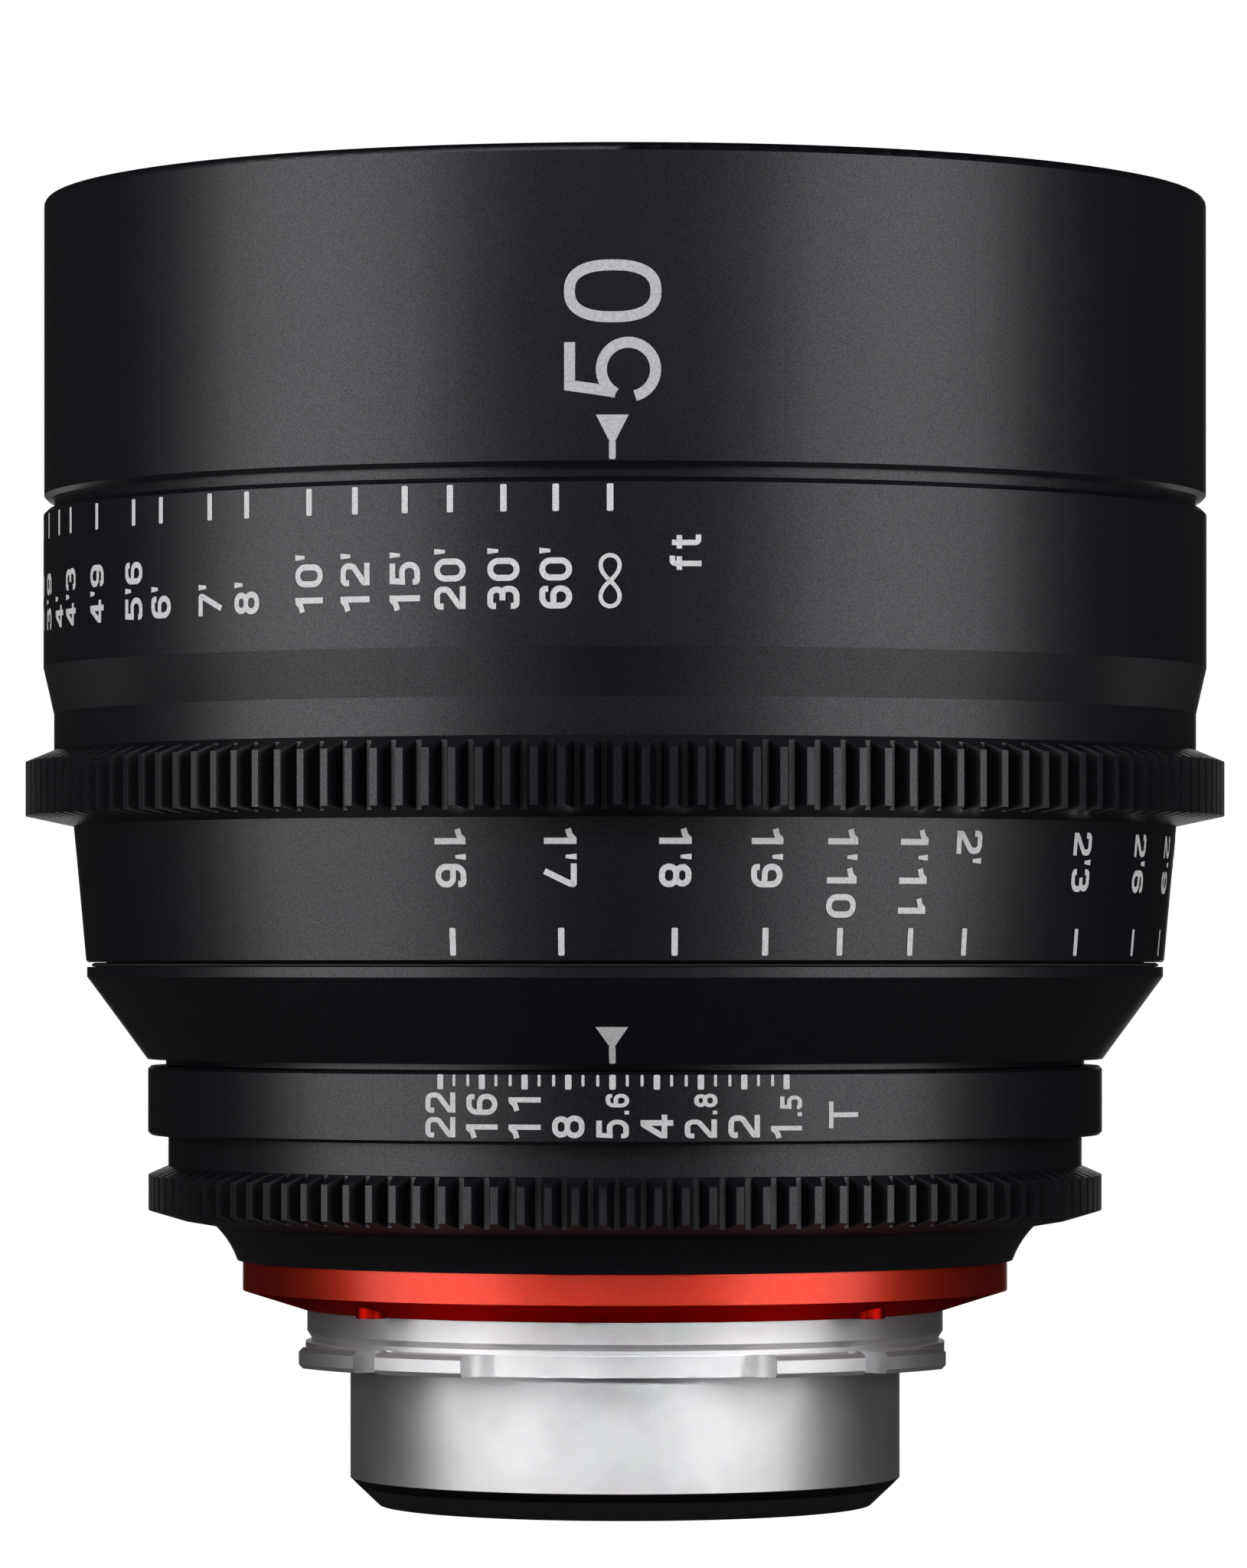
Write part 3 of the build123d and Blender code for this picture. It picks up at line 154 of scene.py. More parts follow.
def map_range(tree_nodes, links, value, low, high, start=0.0, end=1.0):
    """A value that goes from low to high while the given one goes from start to end."""
    m = tree_nodes.new("ShaderNodeMapRange")
    m.inputs["From Min"].default_value = start
    m.inputs["From Max"].default_value = end
    m.inputs["To Min"].default_value = low
    m.inputs["To Max"].default_value = high
    links.new(value, m.inputs["Value"])
    return m.outputs["Result"]


def lathe_vector(tree_nodes, links, turn_scale):
    """Coordinates that change fast with radius and height and slowly round the axis, as turning marks do."""
    place = tree_nodes.new("ShaderNodeTexCoord").outputs["Object"]
    parts = tree_nodes.new("ShaderNodeSeparateXYZ")
    links.new(place, parts.inputs[0])
    x, y = parts.outputs["X"], parts.outputs["Y"]
    squares = [calculate(tree_nodes, links, "MULTIPLY", side, side) for side in (x, y)]
    radius = calculate(tree_nodes, links, "SQRT", calculate(tree_nodes, links, "ADD", *squares))
    angle = calculate(tree_nodes, links, "ARCTAN2", y, x)
    joined = tree_nodes.new("ShaderNodeCombineXYZ")
    links.new(radius, joined.inputs["X"])
    links.new(calculate(tree_nodes, links, "MULTIPLY", angle, turn_scale), joined.inputs["Y"])
    links.new(parts.outputs["Z"], joined.inputs["Z"])
    return place, joined.outputs[0]


def bump(tree_nodes, links, height, strength, distance):
    b = tree_nodes.new("ShaderNodeBump")
    b.inputs["Strength"].default_value = strength
    b.inputs["Distance"].default_value = distance
    links.new(height, b.inputs["Height"])
    return b.outputs["Normal"]


def above_height(tree_nodes, links, place, z, low, high):
    """One value under a height of the part, in its own coordinates, and another above it."""
    parts = tree_nodes.new("ShaderNodeSeparateXYZ")
    links.new(place, parts.inputs[0])
    return map_range(tree_nodes, links, parts.outputs["Z"], low, high, z - EDGE_BLUR, z + EDGE_BLUR)


def below_height(tree_nodes, links, place, z, low, high):
    """One colour under a height of the part and another above it."""
    choice = tree_nodes.new("ShaderNodeMix")
    choice.data_type = "RGBA"
    choice.inputs["A"].default_value = (*low, 1)
    links.new(above_height(tree_nodes, links, place, z, 0, 1), choice.inputs["Factor"])
    links.new(high, choice.inputs["B"])
    return choice.outputs["Result"]


def anodised(name, dark, light, metallic, low_rough, high_rough, grain=GRAIN_SCALE, tint=(1, 1, 1),
             coat=0.0, painted_shade_below=None):
    """Bead-blasted metal under a dyed oxide layer: a fine even grain, slightly mottled in gloss.

    The last argument is a height and a darker colour under it, painted shade for faces there that look down into
    the dark; the clear coat lies only above that height.
    """
    material, n, links, shader = new_material(name)
    place, turned = lathe_vector(n, links, ANODISED_TURN)
    fine = noise(n, links, place, grain, 3.0, 0.6)
    tone = ramp(n, links, fine, 0.35, dark, 0.68, light)
    # Below the height the base colour is painted darker, as shade.
    if painted_shade_below:
        edge_z, shade_colour = painted_shade_below
        tone = below_height(n, links, place, edge_z, shade_colour, tone)
        links.new(above_height(n, links, place, edge_z, 0, coat), shader.inputs["Coat Weight"])
    links.new(tone, shader.inputs["Base Color"])
    broad = noise(n, links, place, MOTTLE_SCALE)
    links.new(map_range(n, links, broad, low_rough, high_rough), shader.inputs["Roughness"])
    lines = noise(n, links, turned, TURNING_SCALE)
    relief = calculate(n, links, "MULTIPLY_ADD", lines, TURNING_SHARE, fine)
    links.new(bump(n, links, relief, *GRAIN_BUMP), shader.inputs["Normal"])
    grit = noise(n, links, place, GRIT_SCALE)
    links.new(map_range(n, links, grit, *GRIT_SPECULAR, *GRIT_RANGE), shader.inputs["Specular IOR Level"])
    shader.inputs["Specular Tint"].default_value = (*tint, 1)
    shader.inputs["Metallic"].default_value = metallic
    shader.inputs["Coat Roughness"].default_value = COAT_ROUGH
    return material


def turned_steel(name, dark, light, low_rough, high_rough, stretch=0.0, black_below=None):
    """Turned steel: fine marks round the axis that stretch highlights across them, and faint handling haze.

    black_below is a height under which the metal is black.
    """
    material, n, links, shader = new_material(name)
    place, turned = lathe_vector(n, links, STEEL_TURN)
    lines = noise(n, links, turned, STEEL_LINE_SCALE, 3.0, 0.6)
    haze = noise(n, links, place, HAZE_SCALE, 3.0)
    tone = ramp(n, links, haze, 0.3, dark, 0.7, light)
    if black_below is not None:
        tone = below_height(n, links, place, black_below, BLACK_BEVEL, tone)
    links.new(tone, shader.inputs["Base Color"])
    links.new(map_range(n, links, lines, low_rough, high_rough), shader.inputs["Roughness"])
    links.new(bump(n, links, lines, *LINE_BUMP), shader.inputs["Normal"])
    shader.inputs["Metallic"].default_value = 1.0
    if stretch:
        along = n.new("ShaderNodeTangent")
        along.direction_type = "RADIAL"
        along.axis = "Z"
        links.new(along.outputs["Tangent"], shader.inputs["Tangent"])
        shader.inputs["Anisotropic"].default_value = stretch
        shader.inputs["Anisotropic Rotation"].default_value = 0.25
    return material


def coated_glass(name, film, tint):
    """Optical glass with a thin coat that tints its reflections; faint dust in the roughness."""
    material, n, links, shader = new_material(name)
    place = n.new("ShaderNodeTexCoord").outputs["Object"]
    dust = noise(n, links, place, DUST_SCALE)
    links.new(map_range(n, links, dust, 0.0, DUST_ROUGH, *DUST_RANGE), shader.inputs["Roughness"])
    shader.inputs["Base Color"].default_value = (*tint, 1)
    shader.inputs["Transmission Weight"].default_value = 1.0
    shader.inputs["IOR"].default_value = GLASS_IOR
    shader.inputs["Thin Film Thickness"].default_value = film
    shader.inputs["Thin Film IOR"].default_value = FILM_IOR
    return material


def paint(name, dark, light, roughness):
    """Matt engraving paint or plastic, slightly uneven."""
    material, n, links, shader = new_material(name)
    place = n.new("ShaderNodeTexCoord").outputs["Object"]
    grain = noise(n, links, place, PAINT_SCALE)
    links.new(ramp(n, links, grain, 0.35, dark, 0.65, light), shader.inputs["Base Color"])
    links.new(bump(n, links, grain, *PAINT_BUMP), shader.inputs["Normal"])
    shader.inputs["Roughness"].default_value = roughness
    return material


# Looks: every node has the look of its slot, or one of its own

black = anodised("black_anodised", (0.0008, 0.0007, 0.0026), (0.0030, 0.0026, 0.0052), 0.0, 0.35, 0.39,
                 tint=(0.96, 0.94, 1.0))
inner = anodised("inner_black", (0.003, 0.003, 0.003), (0.008, 0.008, 0.008), 0.0, 0.52, 0.6)
baffle = anodised("baffle_black", (0.004, 0.004, 0.004), (0.010, 0.010, 0.010), 0.0, 0.6, 0.7)
# Under RED_EDGE_Z the red is painted darker, as shade on the lower bevel that faces down.
red = anodised("red_anodised", (0.58, 0.026, 0.008), (0.68, 0.038, 0.013), 1.0, 0.38, 0.44, grain=6000,
               tint=(0.9, 0.10, 0.08), coat=0.6, painted_shade_below=(RED_EDGE_Z * MM, (0.40, 0.005, 0.003)))
steel = turned_steel("turned_steel", (0.70, 0.705, 0.72), (0.79, 0.795, 0.81), 0.46, 0.54, stretch=0.5,
                     black_below=TUBE_EDGE_Z * MM)
screw_steel = turned_steel("screw_steel", (0.42, 0.42, 0.41), (0.55, 0.55, 0.54), 0.28, 0.38)
blade = turned_steel("blade_black", (0.02, 0.02, 0.022), (0.04, 0.04, 0.043), 0.38, 0.5)
glide = paint("glide_plastic", (0.004, 0.004, 0.004), (0.010, 0.010, 0.010), 0.3)
mark_paint = paint("mark_paint", (0.53, 0.525, 0.545), (0.67, 0.665, 0.69), 0.55)
index_paint = paint("index_paint", (0.39, 0.386, 0.405), (0.50, 0.495, 0.52), 0.6)
front_glass = coated_glass("front_glass", 420, (0.98, 0.99, 1.0))
inner_glass = coated_glass("inner_glass", 520, (1.0, 0.985, 0.97))

FINISH = {
    "steel": screw_steel,
    "anodised_black": black,
    "inner_black": inner,
    "anodised_red": red,
    "blade_black": blade,
    "glide_plastic": glide,
    "coated_glass": inner_glass,
}
OWN = {
    "pl_mount": steel,
    "flange_shim": steel,
    "front_baffle": baffle,
    "rear_baffle": inner,
    "red_ring_screws": red,
    "element_1": front_glass,
    "element_9": front_glass,
}
slot_of = {s["node"]: s["material_slot"] for s in frame["record"]["subparts"]}

for name, obj in nodes.items():
    dress(obj, OWN.get(name, FINISH[slot_of[name]]))


# Marks: stroke letters laid on round surfaces

ARC_STEPS = 8
OVAL_STEPS = 48
LOOP_STEPS = 64
BOWL_STEPS = 40
LETTER_STEP = 0.12


def rounded(points, radii, closed=False):
    """The path through the corner points with each corner rounded by its radius."""
    out = []
    count = len(points)
    for i, p in enumerate(points):
        r = radii[i] if i < len(radii) else 0
        if r == 0 or (not closed and i in (0, count - 1)):
            out.append(Vector(p))
            continue
        p = Vector(p)
        before = Vector(points[i - 1]) - p
        after = Vector(points[(i + 1) % count]) - p
        half = before.angle(after) / 2
        reach = min(r / math.tan(half), before.length * 0.5, after.length * 0.5)
        radius = reach * math.tan(half)
        middle = p + (before.normalized() + after.normalized()).normalized() * (radius / math.sin(half))
        start = p + before.normalized() * reach - middle
        end = p + after.normalized() * reach - middle
        sweep = start.angle_signed(end)
        for k in range(ARC_STEPS + 1):
            a = -sweep * k / ARC_STEPS
            out.append(middle + Vector((start.x * math.cos(a) - start.y * math.sin(a),
                                        start.x * math.sin(a) + start.y * math.cos(a))))
    return out


def finer(points, step, closed):
    """The path with points no further apart than the step, so that it can follow a round surface."""
    out = []
    pairs = list(zip(points, points[1:])) + ([(points[-1], points[0])] if closed else [])
    for a, b in pairs:
        parts = max(1, math.ceil((b - a).length / step))
        out.extend(a.lerp(b, k / parts) for k in range(parts))
    if not closed:
        out.append(points[-1])
    return out


# Letters are one unit tall. W is the width of most figures and S their stroke; L, R, B and T are the middles of
# the left, right, bottom and top strokes. A glyph is its width and a list of strokes, each with its corners, the
# radii of the corners, and whether it is closed.
W = 0.70
S = 0.185
L, R, B, T = S / 2, W - S / 2, S / 2, 1 - S / 2
INFINITY_STROKE = 0.128
PRIME_STROKE, PRIME_TAPER = 0.1, 1.75
LATER_ONE_SPACE = 0.13
GLYPHS = {
    "0": (W, [([(L, B), (R, B), (R, T), (L, T)], [.25] * 4, True)]),
    "1": (0.62, [([(0.36, 0), (0.36, 1)], [], False),
                 ([(0, 0.74), (0.2, 0.8), (0.32, 0.93)], [0, .1, 0], False)]),
    "2": (W, [([(L, 0.70), (L, T), (R, T), (R, 0.57), (L + .01, 0.2), (L + .01, B), (W, B)],
               [0, .22, .25, .18, .04, 0, 0], False)]),
    "3": (W, [([(L, 0.73), (L, T), (R - .02, T), (R - .02, 0.53), (0.26, 0.53)], [0, .2, .19, .19, 0], False),
              ([(0.3, 0.53), (R, 0.53), (R, B), (L, B), (L, 0.27)], [0, .2, .22, .2, 0], False)]),
    "4": (W + .02, [([(0.47, 0), (0.47, T), (0.42, T), (L, 0.36), (L, 0.27), (W + .02, 0.27)],
                     [0, 0, .04, .05, 0, 0], False)]),
    "5": (W, [([(W - .04, T), (L + .03, T), (L + .01, 0.58), (R, 0.6), (R, B), (L, B), (L, 0.24)],
               [0, 0, 0, .22, .24, .2, 0], False)]),
    "6": (W, [([(R - .01, 0.73), (R - .01, T), (L, T), (L, B), (R, B), (R, 0.57), (L, 0.57)],
               [0, .2, .25, .25, .24, .2, 0], False)]),
    "7": (W - .02, [([(0, T), (R, T), (R - .02, 0.78), (0.22, 0)], [0, .03, .06, 0], False)]),
    "8": (W, [([(L + .02, 0.53), (R - .02, 0.53), (R - .02, T), (L + .02, T)], [.19] * 4, True),
              ([(L, B), (R, B), (R, 0.53), (L, 0.53)], [.21] * 4, True)]),
    "9": (W, [([(L + .01, 0.27), (L + .01, B), (R, B), (R, T), (L, T), (L, 0.43), (R, 0.43)],
               [0, .2, .25, .25, .24, .2, 0], False)]),
    "'": (0.12, [([(0.06, 0.66), (0.06, 1)], [], False)]),
    ".": (0.2, [([(0.1, 0), (0.1, 0.2)], [], False)]),
    "f": (0.42, [([(0.44, T), (0.2, T), (0.2, 0)], [0, .1, 0], False),
                 ([(0, 0.69), (0.42, 0.69)], [], False)]),
    "t": (0.44, [([(0.19, 0.92), (0.19, B), (0.44, B)], [0, .1, 0], False),
                 ([(0, 0.69), (0.42, 0.69)], [], False)]),
    "T": (0.8, [([(0, T), (0.8, T)], [], False), ([(0.4, 0), (0.4, T)], [], False)]),
}


def superellipse(width, height, power, inset):
    """The middle of a zero's stroke, half a stroke inside its outline."""
    a, b = width / 2 - inset, height / 2 - inset
    points = []
    for k in range(OVAL_STEPS):
        t = 2 * math.pi * k / OVAL_STEPS
        c, s = math.cos(t), math.sin(t)
        points.append(Vector((width / 2 + a * math.copysign(abs(c) ** (2 / power), c),
                              height / 2 + b * math.copysign(abs(s) ** (2 / power), s))))
    return points


def infinity():
    """A lying eight: a lemniscate, slightly widened."""
    points = []
    for k in range(LOOP_STEPS):
        t = 2 * math.pi * k / LOOP_STEPS
        reach = 0.775 * math.cos(t) / (1 + math.sin(t) ** 2)
        points.append(Vector((0.84 + reach, 0.5 + 1.05 * reach * math.sin(t))))
    return points


def radius_at(surface, z):
    """The radius of a straight surface, which is one number, or of a sloping one."""
    if isinstance(surface, (int, float)):
        return surface
    (z0, r0), (z1, r1) = surface
    return r0 + (r1 - r0) * (z - z0) / (z1 - z0)


MARK_LIFT = 0.03
STROKE_LIFT = 0.0015
LIFT_LEVELS = 6
TICK_W = 0.6
TICK_CORNER = 0.13


class Marks:
    """Collects ribbons and patches on one round surface and makes them one piece.

    Strokes that cross each other lie at slightly different heights.
    """

    def __init__(self, surface, turn=0.0):
        self.surface, self.turn, self.count = surface, turn, 0
        self.vertices, self.faces = [], []

    def point(self, along, z):
        """A point at an angle from -Y, in degrees, and a height in mm."""
        r = radius_at(self.surface, z) + MARK_LIFT + STROKE_LIFT * (self.count % LIFT_LEVELS)
        a = math.radians(along + self.turn)
        self.vertices.append((r * math.sin(a) * MM, -r * math.cos(a) * MM, z * MM))
        return len(self.vertices) - 1

    def ribbon(self, points, width, place, closed=False, taper=1.0):
        """A stroke along the points, which widens evenly to taper times its width.

        place turns a flat point into (angle, z).
        """
        self.count += 1
        sides = []
        n = len(points)
        for i, p in enumerate(points):
            before = p - points[i - 1] if (closed or i > 0) else points[1] - points[0]
            after = points[(i + 1) % n] - p if (closed or i < n - 1) else p - points[i - 1]
            if before.length == 0:
                before = after
            if after.length == 0:
                after = before
            b, a = before.normalized(), after.normalized()
            normal = Vector((-b.y - a.y, b.x + a.x)).normalized()
            cut = max(0.5, normal.dot(Vector((-b.y, b.x))))
            half = width / 2 / cut * (1 + (taper - 1) * i / max(1, n - 1))
            sides.append([self.point(*place(p + normal * half)), self.point(*place(p - normal * half))])
        for i in range(n if closed else n - 1):
            a, b = sides[i], sides[(i + 1) % n]
            self.faces.append((a[0], a[1], b[1], b[0]))

    def patch(self, points, place):
        """A small patch with its corners on the surface."""
        self.count += 1
        self.faces.append([self.point(*place(Vector(p))) for p in points])

    def text(self, words, angle, z, height, up=1, stroke=0.55, gap=0.15, narrow=1.0):
        """Text whose letters stand sideways, from the height z on: up=1 reads upwards, up=-1 downwards."""
        at = 0.0
        r = radius_at(self.surface, z)
        for letter, share in words:
            size = height * share
            if letter == "1" and at > 0:
                at += LATER_ONE_SPACE * size

            def place(p, at=at, size=size):
                turned = up * math.degrees((height / 2 - p.y * size) / r)
                return angle + turned, z + up * (at + p.x * narrow * size)

            if letter == "inf":
                self.ribbon(infinity(), INFINITY_STROKE, place, True)
                continue
            width, strokes = GLYPHS[letter]
            for corners, radii, closed in strokes:
                path = finer(rounded(corners, radii, closed), LETTER_STEP, closed)
                if letter == "'":
                    self.ribbon(path, PRIME_STROKE, place, False, PRIME_TAPER)
                else:
                    self.ribbon(path, stroke * share ** 0.6 / size, place, closed)
            at += (width * narrow + gap) * size

    def tick(self, angle, z_low, z_high, width):
        """A short bar along the axis, its corners rounded by the engraving cutter."""
        r = radius_at(self.surface, (z_low + z_high) / 2)
        across, along = width / 2 - TICK_CORNER, (z_high - z_low) / 2 - TICK_CORNER
        points = []
        for side, end, first in ((1, 1, 0), (-1, 1, 90), (-1, -1, 180), (1, -1, 270)):
            for k in range(4):
                a = math.radians(first + 30 * k)
                x, y = TICK_CORNER * math.cos(a), TICK_CORNER * math.sin(a)
                points.append((side * across + x, end * along + y))
        self.patch(points, lambda p: (angle + math.degrees(p.x / r), (z_low + z_high) / 2 + p.y))

    def index(self, angle, z_foot, z_neck, z_top, half_neck, half_top):
        """An index mark: a wedge, whose half widths are in degrees, over a stem."""
        corners = [(-half_top, z_top), (half_top, z_top), (half_neck, z_neck), (-half_neck, z_neck)]
        self.patch(corners, lambda p: (angle + p.x, p.y))
        self.tick(angle, z_foot, z_neck, TICK_W)

    def build(self, name, body, material):
        obj = new_object(name, self.vertices, self.faces)
        for polygon in obj.data.polygons:
            outwards = Vector((polygon.center.x, polygon.center.y, 0))
            if polygon.normal.dot(outwards) < 0:
                polygon.flip()
        dress(obj, material)
        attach(obj, body)


def letters(text, after_dot=None):
    """A list of (letter, size share); the dot and what follows it can be smaller."""
    out, share = [], 1.0
    for c in text:
        if after_dot and c == ".":
            share = after_dot
        out.append((c, share))
    return out


# Distance scales: angle from the index to each distance in feet, in degrees, with the lens set to infinity
DISTANCES = [
    ("inf", 0.18), ("60'", 5.16), ("30'", 10.0), ("20'", 15.06), ("15'", 19.46), ("12'", 24.5), ("10'", 29.4),
    ("8'", 36.6), ("7'", 41.3), ("6'", 48.3), ("5'6", 52.8), ("4'9", 60.1), ("4'3", 67.0), ("4'", 71.1),
    ("3'9", 76.3), ("3'6", 82.1), ("3'3", 88.6), ("3'", 96.2), ("2'9", 106.1), ("2'6", 116.8), ("2'3", 129.65),
    ("2'", 146.4), ("1'11", 153.0), ("1'10", 160.9), ("1'9", 168.7), ("1'8", 177.8), ("1'7", 189.0),
    ("1'6", 200.0),
]
NEAR_OFFSET = -16.2
FOCUS_THROW = 200.0
FAR_TICK = (80.2, 82.7, TICK_W)
FAR_TEXT_Z = 71.34
FAR_TURN = -0.08
FT_ANGLE, FT_Z, FT_H = 6.7, 74.85, 2.93
NEAR_TICK = (39.8, 42.35, 0.58)
NEAR_TEXT_Z = 51.4
NEAR_NARROW = 1.03
DISTANCE_H = 3.0

far = Marks(GRIP_R, FAR_TURN)
near = Marks(SKIRT)
for words, turned in DISTANCES:
    near_angle = NEAR_OFFSET + FOCUS_THROW - turned
    far.tick(-turned, *FAR_TICK)
    near.tick(near_angle, *NEAR_TICK)
    label = [("inf", 1.0)] if words == "inf" else letters(words)
    far.text(label, -turned, FAR_TEXT_Z, DISTANCE_H)
    near.text(label, near_angle, NEAR_TEXT_Z, DISTANCE_H, up=-1, narrow=NEAR_NARROW)
far.text(letters("ft"), FT_ANGLE, FT_Z, FT_H, stroke=0.5, gap=0.24)
far.build("far_scale_marks", "focus_ring", mark_paint)
near.build("near_scale_marks", "focus_ring", mark_paint)

# Iris scale: each full stop with the width of its figures, and two thirds of a stop between every two
INDEX_TURN = -0.31
STOP_ANGLE = 5
STOP_TICK = (27.45, 28.82, TICK_W)
THIRD_TICK = (27.73, 28.82, 0.28)
STOP_TEXT_Z = 22.95
STOP_H = 3.05
T_ANGLE, T_Z, T_H = 27.03, 23.81, 3.1
STOPS = [
    ("22", 0.9), ("16", 0.93), ("11", 0.93), ("8", 1.0), ("5.6", 0.82), ("4", 1.0), ("2.8", 0.82), ("2", 1.0),
    ("1.5", 0.82),
]
stops = Marks(IRIS_R, INDEX_TURN)
for i, (words, narrow) in enumerate(STOPS):
    angle = STOP_ANGLE * (i - len(STOPS) // 2)
    stops.tick(angle, *STOP_TICK)
    if i < len(STOPS) - 1:
        for third in (1, 2):
            stops.tick(angle + third * STOP_ANGLE / 3, *THIRD_TICK)
    gap = 0.15 if "." in words else 0.12
    stops.text(letters(words, 0.7), angle, STOP_TEXT_Z, STOP_H, stroke=0.52, gap=gap, narrow=narrow)
stops.text(letters("T"), T_ANGLE, T_Z, T_H, stroke=0.45)
stops.build("iris_scale_marks", "iris_ring", mark_paint)

# Index marks on the fixed barrels, and the focal length. An index is given by the heights of its foot, neck and
# top and by the half widths of its wedge at the neck and at the top, in degrees
UPPER_TURN = -0.06
UPPER_INDEX = (84.9, 86.6, 88.95, 0.3, 1.5)
LOWER_INDEX = (29.85, 31.55, 33.25, 0.38, 1.75)
FAR_SIDE_INDEX = (33.5, 35.25, 36.9, 0.38, 1.7)
FIGURE_H = 8.87
FIGURE_STROKE = 1.0
FIGURE_TURN = 0.03
FIVE_Z = 90.13
BOWL_FIRST, BOWL_SWEEP = 152, 318
BOWL_R = 0.278
ZERO_Z, ZERO_W, ZERO_POWER = 97.33, 5.72, 2.5
upper = Marks(FRONT_R, UPPER_TURN)
upper.index(0, *UPPER_INDEX)


def sideways(z):
    """Places a large figure that starts at the height z and reads upwards."""
    def place(p):
        return FIGURE_TURN + math.degrees((FIGURE_H / 2 - p.y) / FRONT_R), z + p.x
    return place


# The five is a path with one corner and a bowl, both in shares of its height, and the zero a superellipse
five = [Vector((0.611, 0.942)), Vector((0.167, 0.942)), Vector((0.098, 0.47))]
bowl = []
for k in range(BOWL_STEPS + 1):
    a = math.radians(BOWL_FIRST - BOWL_SWEEP * k / BOWL_STEPS)
    bowl.append(Vector((0.33 + BOWL_R * math.cos(a), 0.338 + BOWL_R * math.sin(a))))
upper.ribbon(finer([p * FIGURE_H for p in five], 0.3, False), FIGURE_STROKE, sideways(FIVE_Z))
upper.ribbon([p * FIGURE_H for p in bowl], FIGURE_STROKE, sideways(FIVE_Z))
zero = superellipse(ZERO_W, FIGURE_H, ZERO_POWER, FIGURE_STROKE / 2)
upper.ribbon(zero, FIGURE_STROKE, sideways(ZERO_Z), True)
upper.build("front_index_marks", "barrel", index_paint)

# On the far side, where the near scale has its infinity mark, sits the index that it is read against
FAR_SIDE = NEAR_OFFSET + FOCUS_THROW - INDEX_TURN
lower = Marks(CONE, INDEX_TURN)
lower.index(0, *LOWER_INDEX)
lower.index(FAR_SIDE, *FAR_SIDE_INDEX)
lower.build("rear_index_marks", "barrel", mark_paint)


# Filter thread: one helical ridge inside the front rim, its section in shares of pitch and depth

THREAD_SECTION = ((0.08, 0), (0.42, 1), (0.58, 1), (0.92, 0))
THREAD_STEPS = 144
THREAD_FADE = 24
THREAD_GAP = 0.02


def thread_ridge(name, r, depth, pitch, z_low, z_high, body, material):
    rows = int((z_high - z_low) / pitch * THREAD_STEPS)
    count = len(THREAD_SECTION)
    vertices, faces = [], []
    for i in range(rows + 1):
        a = 2 * math.pi * i / THREAD_STEPS
        z = z_low + pitch * i / THREAD_STEPS
        fade = min(1.0, i / THREAD_FADE, (rows - i) / THREAD_FADE)
        for dz, share in THREAD_SECTION:
            crest = r - THREAD_GAP - depth * fade * share
            vertices.append((crest * math.cos(a) * MM, crest * math.sin(a) * MM, (z + dz * pitch) * MM))
    for i in range(rows):
        for k in range(count - 1):
            b = count * i + k
            faces.append((b, b + 1, b + count + 1, b + count))
    obj = new_object(name, vertices, faces)
    for polygon in obj.data.polygons:
        polygon.use_smooth = True
    dress(obj, material)
    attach(obj, body)


thread_ridge("filter_thread_ridge", r=55.46, depth=0.42, pitch=1.0, z_low=108.6, z_high=112.6, body="barrel",
             material=black)


# Wiper lip in the gap between the rear barrel and the turning skirt, its section in (radius, height)

RING_STEPS = 180
WIPER_SECTION = [
    (48.4, 38.752), (51.9, 38.752), (52.25, 38.78), (52.35, 38.9), (52.3, 39.05), (52.0, 39.16), (50.95, 39.17),
    (50.85, 39.24), (50.4, 39.24), (50.1, 39.0), (48.4, 39.0),
]


def lathe_ring(name, section, body, material):
    """A closed ring with the section, a list of (radius, height)."""
    vertices, faces = [], []
    count = len(section)
    for i in range(RING_STEPS):
        a = 2 * math.pi * i / RING_STEPS
        vertices.extend((r * math.cos(a) * MM, r * math.sin(a) * MM, z * MM) for r, z in section)
        n = (i + 1) % RING_STEPS
        for k in range(count):
            m = (k + 1) % count
            faces.append((i * count + k, n * count + k, n * count + m, i * count + m))
    obj = new_object(name, vertices, faces)
    dress(obj, material)
    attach(obj, body)


lathe_ring("skirt_wiper_lip", WIPER_SECTION, "barrel", baffle)


# Painted shade in the drive holes of the screws that show

SOCKET_SIDES = 6
SOCKET_WALL = 0.02
SOCKET_INNER_SHARE = 0.86


def socket_shades(name, places, r, z, body):
    """Dark hexagons painted as the shade inside the screw heads' drive holes, on the side of the mount."""
    vertices, faces = [], []
    for x, y in places:
        base = len(vertices)
        for ring, dz in ((r, -SOCKET_WALL), (r * SOCKET_INNER_SHARE, 0.0)):
            for k in range(SOCKET_SIDES):
                a = 2 * math.pi * k / SOCKET_SIDES
                vertices.append(((x + ring * math.cos(a)) * MM, (y + ring * math.sin(a)) * MM, (z + dz) * MM))
        inside = base + SOCKET_SIDES
        for k in range(SOCKET_SIDES):
            n = (k + 1) % SOCKET_SIDES
            faces.append((base + n, base + k, inside + k, inside + n))
        faces.append(tuple(inside + k for k in reversed(range(SOCKET_SIDES))))
    obj = new_object(name, vertices, faces)
    dress(obj, baffle)
    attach(obj, body)


def on_circle(r, count, first):
    angles = [math.radians(first + i * 360 / count) for i in range(count)]
    return [(r * math.cos(a), r * math.sin(a)) for a in angles]


socket_shades("red_ring_screw_socket_shades", on_circle(r=33.6, count=4, first=45), r=0.72, z=5.25, body="barrel")


# Floor, backdrop and light. From here on lengths are in metres

